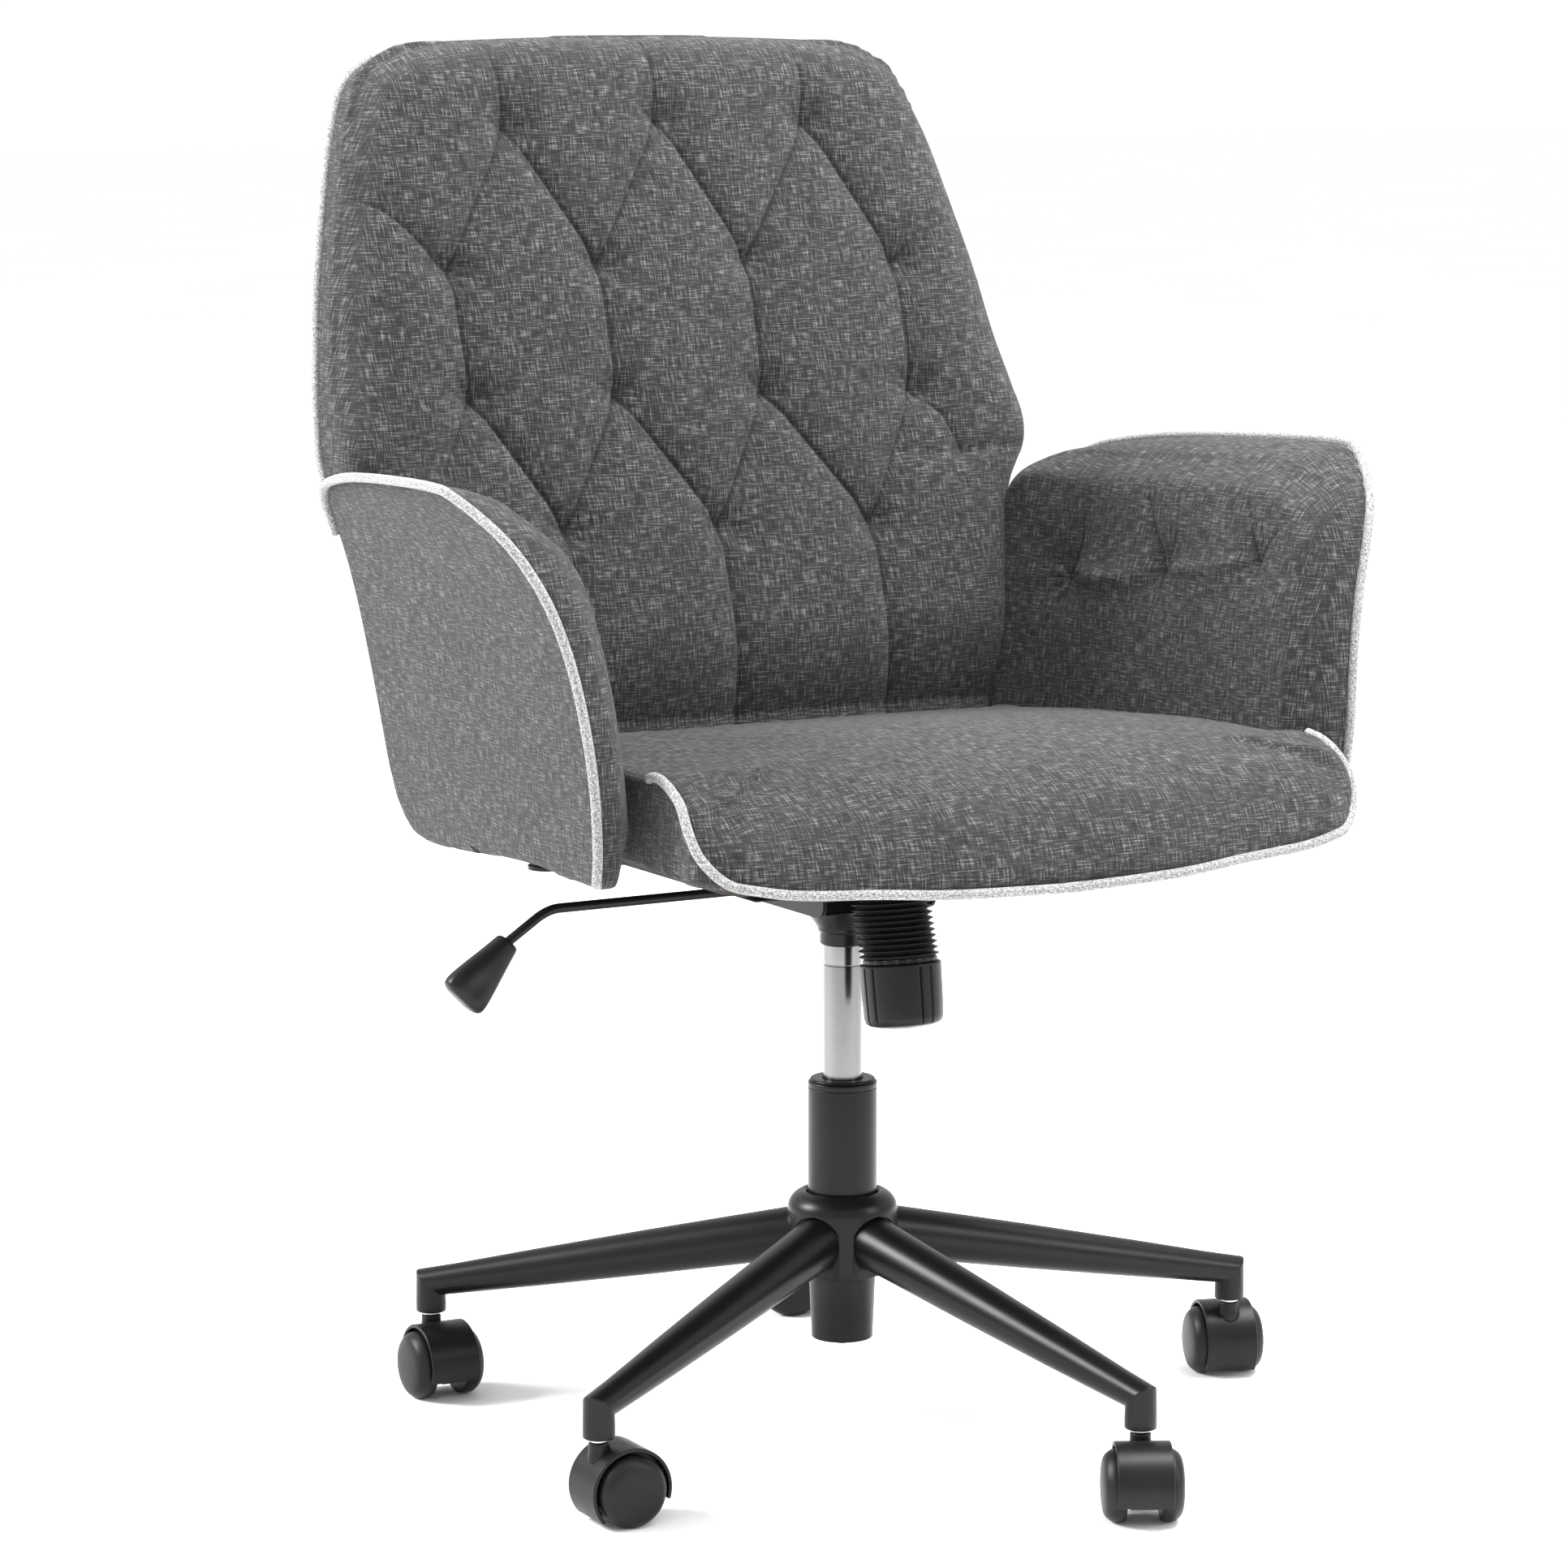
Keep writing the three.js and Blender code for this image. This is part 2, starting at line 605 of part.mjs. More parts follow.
function leverRod() {
  const path = new THREE.CurvePath();
  const bend = new THREE.Vector3(LEVER_BEND_X, 0, LEVER_HEIGHT);
  const before = new THREE.Vector3(LEVER_BEND_X + 8, 0, LEVER_HEIGHT);
  const inner = new THREE.Vector3(18, 0, LEVER_HEIGHT);
  const end = new THREE.Vector3(GRIP_TOP.x, 0, GRIP_TOP.z);
  const after = bend.clone().lerp(end, 0.3);
  path.add(new THREE.LineCurve3(inner, before));
  path.add(new THREE.QuadraticBezierCurve3(before, bend, after));
  path.add(new THREE.LineCurve3(after, end));
  return tube(path, LEVER_RADIUS, 24, 8);
}

// A paddle grip about Z, widening away from the rod, flattened from front to back.
function leverGrip() {
  const length = 54;
  const grip = turned([
    [0, -length],
    [9, -length + 0.5],
    [16, -length + 5],
    [17.5, -length + 12],
    [9, -1],
    [8, 0],
    [0, 0],
  ], 16).scale(1, 0.62, 1);
  return grip
    .rotateY(Math.PI / 2 - GRIP_SLOPE)
    .translate(GRIP_TOP.x - 0.6, 0, GRIP_TOP.z - 0.6);
}

// ---- Seat ----
function seatBoard() {
  const { halfWidth, front, rear, bottom, top } = BOARD;
  const outline = new THREE.Shape();
  const radius = 50;
  outline.moveTo(-halfWidth, rear);
  outline.lineTo(-halfWidth, front + radius);
  outline.absarc(-halfWidth + radius, front + radius, radius, Math.PI, 1.5 * Math.PI, false);
  outline.absarc(halfWidth - radius, front + radius, radius, 1.5 * Math.PI, 2 * Math.PI, false);
  outline.lineTo(halfWidth, rear);
  outline.closePath();
  return raised(outline, bottom, top);
}

// Y of the plane that lies offset behind the plane of the back's tufts, at a height.
function backFaceAt(z, offset) {
  return BACK_ORIGIN.y + (z - BACK_ORIGIN.z) * Math.tan(BACK_LEAN) + offset / Math.cos(BACK_LEAN);
}

// Half the seat's width: parallel ahead of the arms, then narrowing between them.
function seatHalfWidth(y) {
  const t = THREE.MathUtils.clamp((y - ARM.front) / (150 - ARM.front), 0, 1);
  return mix(SEAT.halfFront, SEAT.halfRear, t);
}

function seatCushion() {
  const noseDepth = 62;
  const padding = formed([12, 12, 3], (u, v, w) => {
    const side = 2 * u - 1;
    const front = SEAT.front + 42 * Math.abs(side) ** 4;
    const rear = backFaceAt(mix(SEAT.bottom, SEAT.top, w), CUSHION_FRONT - 2);
    const y = mix(front, rear, v);
    const nose = Math.max(0, 1 - (y - front) / noseDepth);
    const bottom = SEAT.bottom + 20 * Math.abs(side) ** 3 * nose;
    const crown = 9 * (1 - side ** 2) * Math.sin(Math.PI * Math.min(1, v * 1.2)) ** 2;
    const top = SEAT.top + crown - 44 * nose ** 2;
    return [side * seatHalfWidth(y), y, mix(bottom, top, w)];
  });
  const { halfWidth, front, rear, top } = BOARD;
  const boardRoom = block(
    [-halfWidth - 0.5, front - 0.5, SEAT.bottom - 5],
    [halfWidth + 0.5, rear + 0.5, top + 0.5],
  );
  return cut(padding, boardRoom);
}

// The thin black cloth between the seat board and the mechanism.
function dustCover() {
  return block(
    [-BOARD.halfWidth + 8, BOARD.front + 8, PLATE_TOP + GAP],
    [BOARD.halfWidth - 8, BOARD.rear - 4, BOARD.bottom - GAP],
  );
}

// ---- Back ----
// Turns a plate drawn in its own plane (X across, Y up the back, Z out in front) into place.
function onBack(geometry) {
  return geometry
    .rotateX(Math.PI / 2 - BACK_LEAN)
    .translate(0, BACK_ORIGIN.y, BACK_ORIGIN.z);
}

// The back's outline: narrow between the arms, widest just above them, tapering to round corners.
function backOutline(inset) {
  const foot = { x: 222 - inset, y: -182 + inset };
  const waist = { x: 264 - inset, y: 38 };
  const hip = { x: 291 - inset, y: 90 };
  const corner = { x: 243 - inset, y: 337 };
  const top = { x: 186 - inset, y: 391 - inset };
  const outline = new THREE.Shape();
  outline.moveTo(-foot.x, foot.y);
  outline.lineTo(foot.x, foot.y);
  outline.lineTo(waist.x, waist.y);
  outline.quadraticCurveTo(hip.x - 4, hip.y - 30, hip.x, hip.y);
  outline.quadraticCurveTo(hip.x - 11, hip.y + 130, corner.x, corner.y);
  outline.bezierCurveTo(corner.x - 7, corner.y + 25, top.x + 36, top.y - 2, top.x, top.y);
  outline.quadraticCurveTo(0, top.y + 4, -top.x, top.y);
  outline.bezierCurveTo(-top.x - 36, top.y - 2, -corner.x + 7, corner.y + 25, -corner.x, corner.y);
  outline.quadraticCurveTo(-hip.x + 11, hip.y + 130, -hip.x, hip.y);
  outline.quadraticCurveTo(-hip.x + 4, hip.y - 30, -waist.x, waist.y);
  outline.closePath();
  return outline;
}

const BRACKET = { halfWidth: 90, thickness: 3.2, front: 92, behind: 41, height: 120 };

// A bent steel strip: under the seat board, then up the front of the back's shell.
function backBracket() {
  const { thickness, front, behind, height, halfWidth } = BRACKET;
  const bend = backFaceAt(PLATE_BOTTOM, behind);
  const rise = height * Math.tan(BACK_LEAN);
  const wall = thickness / Math.cos(BACK_LEAN);
  const profile = new THREE.Shape();
  profile.moveTo(front, PLATE_BOTTOM);
  profile.lineTo(bend + wall, PLATE_BOTTOM);
  profile.lineTo(bend + wall + rise, PLATE_BOTTOM + height);
  profile.lineTo(bend + rise, PLATE_BOTTOM + height);
  profile.lineTo(bend + thickness * Math.tan(BACK_LEAN), PLATE_BOTTOM + thickness);
  profile.lineTo(front, PLATE_BOTTOM + thickness);
  profile.closePath();
  return drawnAcross(profile, halfWidth);
}

function backCushion() {
  const slab = raised(backOutline(EDGE_ROUND), -SHELL_FRONT + GAP, -CUSHION_FRONT, EDGE_ROUND);
  const half = BRACKET.halfWidth + 1;
  const foot = -260;
  const bracketTop = PLATE_BOTTOM + BRACKET.height + SHELL_FRONT * Math.sin(BACK_LEAN);
  const head = (bracketTop + 2 - BACK_ORIGIN.z) / Math.cos(BACK_LEAN);
  const bracketRoom = onBack(block([-half, foot, -SHELL_FRONT - 5], [half, head, -BRACKET.behind + 1]));
  return cut(onBack(slab), bracketRoom);
}

function backShell() {
  return onBack(raised(backOutline(3), -SHELL_REAR, -SHELL_FRONT));
}

// ---- Arms, drawn for the +X side ----
// The outer face leans out towards the top, more at the front edge than at the rear.
function armOuterAt(y, z) {
  const rise = THREE.MathUtils.clamp((z - ARM.bottom) / FLARE_HEIGHT, 0, 1);
  const front = 298 + 20 * rise + 55 * rise ** 4;
  const rear = 259 + 48 * rise + 30 * rise ** 6;
  return mix(front, rear, (y - ARM.front) / (ARM.rear - ARM.front));
}

// The lower edge sinks a little towards the rear.
function armBottomAt(y) {
  return ARM.bottom - ARM.sag * ((y - ARM.front) / (ARM.rear - ARM.front)) ** 1.5;
}

// Height of a rounded corner of the given reach and height, at a distance in from the edge.
function roundedDrop(distance, reach, height) {
  const t = THREE.MathUtils.clamp(1 - distance / reach, 0, 1);
  return height * (1 - Math.sqrt(1 - t * t));
}

function armPad(side) {
  return formed([2, 10, 8], (u, v, w) => {
    const across = side > 0 ? u : 1 - u;
    const setBack = mix(44, 20, w) * (1 - across); // the front face slants to the inner face
    const front = ARM.front + 20 * w ** 1.5 + setBack;
    const rear = ARM.rear - 10 * (1 - w) - 24 * w ** 3; // clear of the back above the waist
    const y = mix(front, rear, v);
    const top = ARM.top - 16 * v - roundedDrop(y - front, 80, 58);
    const bottom = armBottomAt(y) + roundedDrop(rear - y, 30, 24);
    const z = mix(bottom, top, w);
    return [side * (armOuterAt(y, z) - ARM.thickness * (1 - across)), y, z];
  });
}

// A steel plate under the seat board with two feet that reach out under the arm.
function armBracket(side) {
  const feet = [[-100, -52], [-22, 30]];
  const slab = (inner, outer, [front, rear], top) => block(
    [Math.min(side * inner, side * outer), front, PLATE_BOTTOM],
    [Math.max(side * inner, side * outer), rear, top],
  );
  const bar = slab(150, 200, [feet[0][0], feet[1][1]], PLATE_TOP);
  const toes = feet.flatMap((span) => [
    slab(190, 280, span, PLATE_TOP),
    slab(263, 280, span, armBottomAt(span[1]) - 1),
  ]);
  return joined(bar, ...toes);
}

// ---- The chair ----
const chair = new THREE.Group();

const base = new THREE.Group();
base.add(piece('base_hub', baseHub(), coatedSteel));
for (let index = 0; index < LEG_COUNT; index += 1) {
  const leg = piece(`leg_${index + 1}`, baseLeg(), coatedSteel);
  leg.rotation.z = legTurn(index);
  base.add(leg, castor(index));
}
base.add(
  piece('column_tube', columnTube(), coatedSteel),
  piece('column_bush', columnBush(), blackPlastic),
  piece('thrust_bearing', ring(ROD_RADIUS + GAP, 15, BEARING_BOTTOM, BEARING_TOP, 20), springSteel),
);

const lift = new THREE.Group();
lift.add(
  piece('gas_rod', gasRod(), springSteel),
  piece('gas_cylinder', gasCylinder(), brightSteel),
  piece('valve_button', valveButton(), blackPlastic),
);

const mechanism = new THREE.Group();
mechanism.add(
  piece('tilt_housing', tiltHousing(), coatedSteel),
  piece('seat_plate', seatPlate(), coatedSteel),
  piece('pivot_pin', pivotPin(), brightSteel),
  piece('tension_bolt', tensionBolt(), brightSteel),
  piece('tension_spring', tensionSpring(), springSteel),
  piece('tension_bellows', tensionBellows(), blackPlastic),
  piece('spring_washer', springWasher(), springSteel),
  piece('tension_knob', tensionKnob(), blackPlastic),
  piece('lock_slider', lockSlider(), springSteel),
  piece('lever_rod', leverRod(), coatedSteel),
  piece('lever_grip', leverGrip(), blackPlastic),
);

const seat = new THREE.Group();
seat.add(
  piece('seat_board', seatBoard(), plywood),
  piece('seat_cushion', seatCushion(), linen),
  piece('dust_cover', dustCover(), dustCloth),
  piece('back_bracket', backBracket(), coatedSteel),
  piece('back_shell', backShell(), linen),
  piece('back_cushion', backCushion(), linen),
);
[['left', 1], ['right', -1]].forEach(([name, side]) => seat.add(
  piece(`arm_pad_${name}`, armPad(side), linen),
  piece(`arm_bracket_${name}`, armBracket(side), coatedSteel),
));

chair.add(base, lift, mechanism, seat);
export default chair;
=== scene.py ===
"""Looks of a swivel office chair: linen upholstery, piping, black base, built round its CAD frame.

Metres, +Z up, the column's axis is the Z axis, the floor is z = 0 and the sitter faces -Y.
Shape numbers are written in millimetres and scaled by MM where the meshes are made.
"""

import json
import math

import bmesh
import bpy
import numpy as np
from mathutils import Matrix, Vector


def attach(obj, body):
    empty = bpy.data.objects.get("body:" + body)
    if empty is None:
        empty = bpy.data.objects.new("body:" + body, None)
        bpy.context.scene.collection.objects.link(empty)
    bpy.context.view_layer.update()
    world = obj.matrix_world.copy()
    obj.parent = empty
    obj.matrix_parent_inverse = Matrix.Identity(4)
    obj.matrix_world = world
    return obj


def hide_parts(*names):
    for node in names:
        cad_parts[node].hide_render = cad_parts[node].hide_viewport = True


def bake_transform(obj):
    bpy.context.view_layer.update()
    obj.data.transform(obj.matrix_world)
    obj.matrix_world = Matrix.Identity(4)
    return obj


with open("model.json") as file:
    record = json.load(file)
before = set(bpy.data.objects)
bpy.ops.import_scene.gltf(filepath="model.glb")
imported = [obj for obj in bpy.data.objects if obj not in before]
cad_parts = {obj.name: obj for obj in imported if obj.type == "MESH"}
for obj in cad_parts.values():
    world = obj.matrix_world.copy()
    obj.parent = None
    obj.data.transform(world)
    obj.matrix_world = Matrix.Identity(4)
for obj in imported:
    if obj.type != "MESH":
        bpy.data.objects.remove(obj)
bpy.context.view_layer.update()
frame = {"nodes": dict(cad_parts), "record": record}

MM = 0.001

# ---- Camera ----
camera_data = bpy.data.cameras.new("camera")
camera_data.lens = 118.1
camera_data.sensor_width = 36.0
camera = bpy.data.objects.new("camera", camera_data)
camera.location = (-1.8546, -3.1278, 1.020)
camera.rotation_euler = (math.radians(81.35), 0.0, math.radians(-30.0))
bpy.context.scene.collection.objects.link(camera)
bpy.context.scene.camera = camera

# ---- Sizes shared with the CAD, in millimetres ----
LEG_COUNT = 5
STEM_CIRCLE = 313.5
FIRST_LEG_ANGLE = 9.75
SOCKET_RADIUS = 10.5
SOCKET_BOTTOM = 60.3
LEG_TIP = 82.0
LEG_ROOT = 136.5
LEG_ROOT_RADIUS = 19.0
LEG_ROOT_REACH = 36.3
HUB_RADIUS = 40.0
HUB_BOTTOM = 112.0
HUB_SHOULDER = 161.0
HUB_TOP = 171.0
COLUMN_RADIUS = 25.0
COLUMN_FOOT_RADIUS = 22.2
COLUMN_BOTTOM = 61.5
COLUMN_TOP = 251.5
CYLINDER_RADIUS = 14.0
CYLINDER_BOTTOM = 168.0
CYLINDER_TOP = 384.0
AXLE_HEIGHT = 25.0 * math.cos(math.pi / 24)
AXLE_OFFSET = 16.0
WHEEL_RADIUS = 25.0
WHEEL_INNER = 12.0
WHEEL_OUTER = 28.4
HOOD_RADIUS = 30.0
HOOD_WALL = 2.8
HOOD_HALF_WIDTH = 19.2
HOOD_TOP = 57.5
CASTOR_TRAILS = (-118, 71, 150, -92, -1)
COLLAR_BOTTOM = 351.0
HOUSING_BOTTOM = 380.0
HOUSING_TOP = 408.0
PLATE_BOTTOM = 431.5
SPRING_LEAN = math.radians(8)
SPRING_SEAT = (0.0, -72.5, 399.0)
BELLOWS_LENGTH = 46.0
BELLOWS_RADIUS = 28.5
BELLOWS_FOLDS = 11
BELLOWS_BEND = 5.0
CUFF = 2.8
KNOB_TOP = -(BELLOWS_LENGTH + 0.3) - 2.8
KNOB_LENGTH = 47.0
KNOB_RADIUS = 29.0
GROOVE_START = 0.42
LEVER_HEIGHT = 397.0
LEVER_RADIUS = 3.5
BACK_LEAN = math.atan2(94, 303)
BACK_Y = 188.0
BACK_Z = 622.0
BACK_FRONT = -18.0
PIPING_OFFSET = 42
BACK_HALF_WIDTH = 290
PIPING_RADIUS = 3.4


# ---- Mesh helpers ----
def add_piece(name, points, faces, body, material):
    """A smooth-shaded mesh piece from points in millimetres; with a body, it rides on it."""
    mesh = bpy.data.meshes.new(name)
    mesh.from_pydata([tuple(p) for p in np.asarray(points, float) * MM], [], [tuple(f) for f in faces])
    mesh.update()
    piece = bpy.data.objects.new(name, mesh)
    bpy.context.scene.collection.objects.link(piece)
    mesh.materials.append(material)
    mesh.polygons.foreach_set("use_smooth", [True] * len(mesh.polygons))
    if body:
        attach(piece, body)
    return piece


def apply_modifiers(piece):
    """Makes the piece's modifiers part of its mesh."""
    bpy.context.view_layer.update()
    evaluated = piece.evaluated_get(bpy.context.evaluated_depsgraph_get())
    mesh = bpy.data.meshes.new_from_object(evaluated)
    mesh.name = piece.data.name
    piece.modifiers.clear()
    piece.data = mesh
    return piece


def clean(piece, welding=1e-6):
    """Welds doubled points and turns every face outwards."""
    shape = bmesh.new()
    shape.from_mesh(piece.data)
    bmesh.ops.remove_doubles(shape, verts=shape.verts, dist=welding)
    bmesh.ops.recalc_face_normals(shape, faces=shape.faces)
    shape.to_mesh(piece.data)
    shape.free()
    return piece


def bevelled(piece, width, segments=2, angle=35):
    """Rounds the piece's sharp edges and shades it smooth between them."""
    bevel = piece.modifiers.new("bevel", "BEVEL")
    bevel.width = width * MM
    bevel.segments = segments
    bevel.limit_method = "ANGLE"
    bevel.angle_limit = math.radians(angle)
    bevel.harden_normals = True
    return apply_modifiers(piece)


def rotation(axis, degrees):
    return Matrix.Rotation(math.radians(degrees), 4, axis)


def moved(piece, matrix):
    """Turns and shifts a piece's mesh; the matrix shifts in millimetres."""
    scaled = matrix.copy()
    scaled.translation = scaled.translation * MM
    piece.data.transform(scaled)
    return piece


def rounded_profile(corners, steps=5):
    """[radius, height, fillet] corners as points, each corner rounded by its fillet."""
    points = []
    for i, (r, z, fillet) in enumerate(corners):
        here = np.array((r, z), float)
        if fillet <= 0 or i in (0, len(corners) - 1):
            points.append(here)
            continue
        before = np.array(corners[i - 1][:2], float) - here
        after = np.array(corners[i + 1][:2], float) - here
        reach_before = min(fillet, 0.49 * np.linalg.norm(before))
        reach_after = min(fillet, 0.49 * np.linalg.norm(after))
        a = here + before / np.linalg.norm(before) * reach_before
        b = here + after / np.linalg.norm(after) * reach_after
        for t in np.linspace(0, 1, steps):
            points.append((1 - t) ** 2 * a + 2 * t * (1 - t) * here + t ** 2 * b)
    return points


def ring_faces(count, sides):
    """Quads between rings of points, each ring joined to the next."""
    faces = []
    for k in range(count - 1):
        for i in range(sides):
            j = (i + 1) % sides
            faces.append((k * sides + i, k * sides + j, (k + 1) * sides + j, (k + 1) * sides + i))
    return faces


def capped_skin(rings):
    """Points and faces of a solid skinned over rings of points, closed flat at both ends."""
    sides = len(rings[0])
    points = [p for ring in rings for p in ring]
    last = (len(rings) - 1) * sides
    faces = [tuple(range(sides)), tuple(last + i for i in reversed(range(sides)))]
    return points, faces + ring_faces(len(rings), sides)


def lathe_mesh(profile, sides=72):
    """Points and faces of a turned solid about Z, from [radius, height] pairs, ends on the axis or open."""
    angles = np.linspace(0, 2 * np.pi, sides, endpoint=False)
    points = [(r * np.cos(a), r * np.sin(a), z) for r, z in profile for a in angles]
    return points, ring_faces(len(profile), sides)


def turned(name, corners, body, material, sides=72, steps=5):
    points, faces = lathe_mesh(rounded_profile(corners, steps), sides)
    return clean(add_piece(name, points, faces, body, material))


def tube(name, path, radius, body, material, sides=16):
    """A round bar along a path of points, with flat ends."""
    path = np.asarray(path, float)
    tangents = np.gradient(path, axis=0)
    tangents /= np.linalg.norm(tangents, axis=1)[:, None]
    side = np.cross((0.0, 0.0, 1.0), tangents[0])
    if np.linalg.norm(side) < 1e-6:
        side = np.cross((1.0, 0.0, 0.0), tangents[0])
    side /= np.linalg.norm(side)
    rings = []
    angles = np.linspace(0, 2 * np.pi, sides, endpoint=False)
    for point, tangent in zip(path, tangents):
        side = side - tangent * side.dot(tangent)
        side /= np.linalg.norm(side)
        up = np.cross(tangent, side)
        rings.append([point + radius * (np.cos(a) * side + np.sin(a) * up) for a in angles])
    return clean(add_piece(name, *capped_skin(rings), body, material))


def smooth_curve(points, spacing=3.0, closed=False):
    """Points every few millimetres along a Catmull-Rom curve through the given points."""
    points = np.asarray(points, float)
    if closed:
        ring = np.vstack([points[-1:], points, points[:2]])
    else:
        ring = np.vstack([2 * points[0] - points[1], points, 2 * points[-1] - points[-2]])
    curve = []
    for a, b, c, d in zip(ring, ring[1:], ring[2:], ring[3:]):
        steps = max(2, int(np.linalg.norm(c - b) / spacing))
        for t in np.arange(steps) / steps:
            curve.append(0.5 * ((2 * b) + (c - a) * t + (2 * a - 5 * b + 4 * c - d) * t ** 2
                                + (3 * b - a - 3 * c + d) * t ** 3))
    if not closed:
        curve.append(points[-1])
    return np.array(curve)


def extruded(name, outline, half, body, material, bevel=0.6, segments=2):
    """A flat outline in X and Y, thick by half to both sides of its plane, with rounded edges."""
    count = len(outline)
    points = [(x, y, -half) for x, y in outline] + [(x, y, half) for x, y in outline]
    faces = [tuple(reversed(range(count))), tuple(range(count, 2 * count))]
    faces += [(i, (i + 1) % count, count + (i + 1) % count, count + i) for i in range(count)]
    piece = clean(add_piece(name, points, faces, body, material))
    return bevelled(piece, bevel, segments) if bevel else piece


def arc(centre, radius, start, end, steps):
    """Points on an arc, angles in degrees."""
    return [(centre[0] + radius * math.cos(math.radians(a)), centre[1] + radius * math.sin(math.radians(a)))
            for a in np.linspace(start, end, steps)]


# ---- Implicit forms for the padding ----
def outline_distance(outline, a, b):
    """Signed distance to a closed outline, negative inside, and the place of the nearest point on it."""
    a, b = np.broadcast_arrays(a, b)
    point = np.stack([a, b], -1)[..., None, :]
    start = outline
    end = np.roll(outline, -1, 0)
    edge = end - start
    t = np.clip(((point - start) * edge).sum(-1) / (edge ** 2).sum(-1), 0, 1)
    gap = np.linalg.norm(point - (start + t[..., None] * edge), axis=-1)
    nearest = gap.argmin(-1)
    crosses = (start[:, 1] <= point[..., 1]) != (end[:, 1] <= point[..., 1])
    rise = np.where(edge[:, 1] == 0, 1e-9, edge[:, 1])
    beyond = point[..., 0] < start[:, 0] + (point[..., 1] - start[:, 1]) / rise * edge[:, 0]
    inside = (crosses & beyond).sum(-1) % 2 == 1
    distance = gap.min(-1)
    place = nearest + np.take_along_axis(t, nearest[..., None], -1)[..., 0]
    return np.where(inside, -distance, distance), place


def surface_net(field, low, high, step):
    """Points and quads of the surface where a field of (a, b, c) is zero, inside where it's negative."""
    axes = [np.arange(l, h + step, step) for l, h in zip(low, high)]
    values = field(axes[0][:, None, None], axes[1][None, :, None], axes[2][None, None, :])
    size = np.array(values.shape)
    cells = tuple(size - 1)
    total = np.zeros((*cells, 3))
    count = np.zeros(cells)
    quads = []
    for axis in range(3):
        first = np.take(values, range(size[axis] - 1), axis)
        second = np.take(values, range(1, size[axis]), axis)
        crossing = (first < 0) != (second < 0)
        index = np.argwhere(crossing)
        t = first[crossing] / (first[crossing] - second[crossing])
        outwards = first[crossing] < 0
        one, two = (axis + 1) % 3, (axis + 2) % 3
        point = index.astype(float)
        point[:, axis] += t
        corners = []
        for step_one, step_two in ((0, 0), (-1, 0), (-1, -1), (0, -1)):
            cell = index.copy()
            cell[:, one] += step_one
            cell[:, two] += step_two
            np.add.at(total, tuple(cell.T), point)
            np.add.at(count, tuple(cell.T), 1)
            corners.append(np.ravel_multi_index(tuple(cell.T), cells))
        quad = np.stack(corners, 1)
        quad[~outwards] = quad[~outwards][:, ::-1]
        quads.append(quad)
    quads = np.vstack(quads)
    used = np.unique(quads)
    number = np.zeros(count.size, int)
    number[used] = np.arange(len(used))
    points = total.reshape(-1, 3)[used] / count.ravel()[used][:, None] * step + np.array(low)
    return points, number[quads]


def onto_surface(field, points, rounds=3, reach=0.5):
    """Moves points onto the surface where the field is zero."""
    for _ in range(rounds):
        value = field(*points.T)
        slope = np.stack([
            (field(*(points + step).T) - field(*(points - step).T)) / (2 * reach)
            for step in reach * np.eye(3)], 1)
        steep = np.maximum((slope ** 2).sum(1), 0.05)
        move = (value / steep)[:, None] * slope
        length = np.maximum(np.linalg.norm(move, axis=1), 1e-9)
        points = points - move * np.minimum(1, 2.0 / length)[:, None]
    return points


def pillow_field(outline, thickness, front_round, rear_round):
    """A panel between c = 0, its piped side, and c = thickness, whose rounding is a function of the place."""
    middle = thickness / 2

    def field(a, b, c):
        edge, _ = outline_distance(outline, a, b)
        turn = np.where(c > middle, front_round(a, b), rear_round)
        across = edge + turn
        through = np.abs(c - middle) - middle + turn
        return (np.hypot(np.maximum(across, 0), np.maximum(through, 0))
                + np.minimum(np.maximum(across, through), 0) - turn)
    return field


def smoothstep(low, high, x):
    t = np.clip((x - low) / (high - low), 0, 1)
    return t * t * (3 - 2 * t)


def path_distance(path, a, b):
    """Distance from points to a crease through a few points, how far along it they are, and its length."""
    nearest = np.full(np.shape(a), 1e9)
    along = np.zeros(np.shape(a))
    run = 0.0
    for (a0, b0), (a1, b1) in zip(path, path[1:]):
        da, db = a1 - a0, b1 - b0
        length = math.hypot(da, db)
        t = np.clip(((a - a0) * da + (b - b0) * db) / length ** 2, 0, 1)
        gap = np.hypot(a - a0 - t * da, b - b0 - t * db)
        along = np.where(gap < nearest, run + t * length, along)
        nearest = np.minimum(gap, nearest)
        run += length
    return nearest, along, run


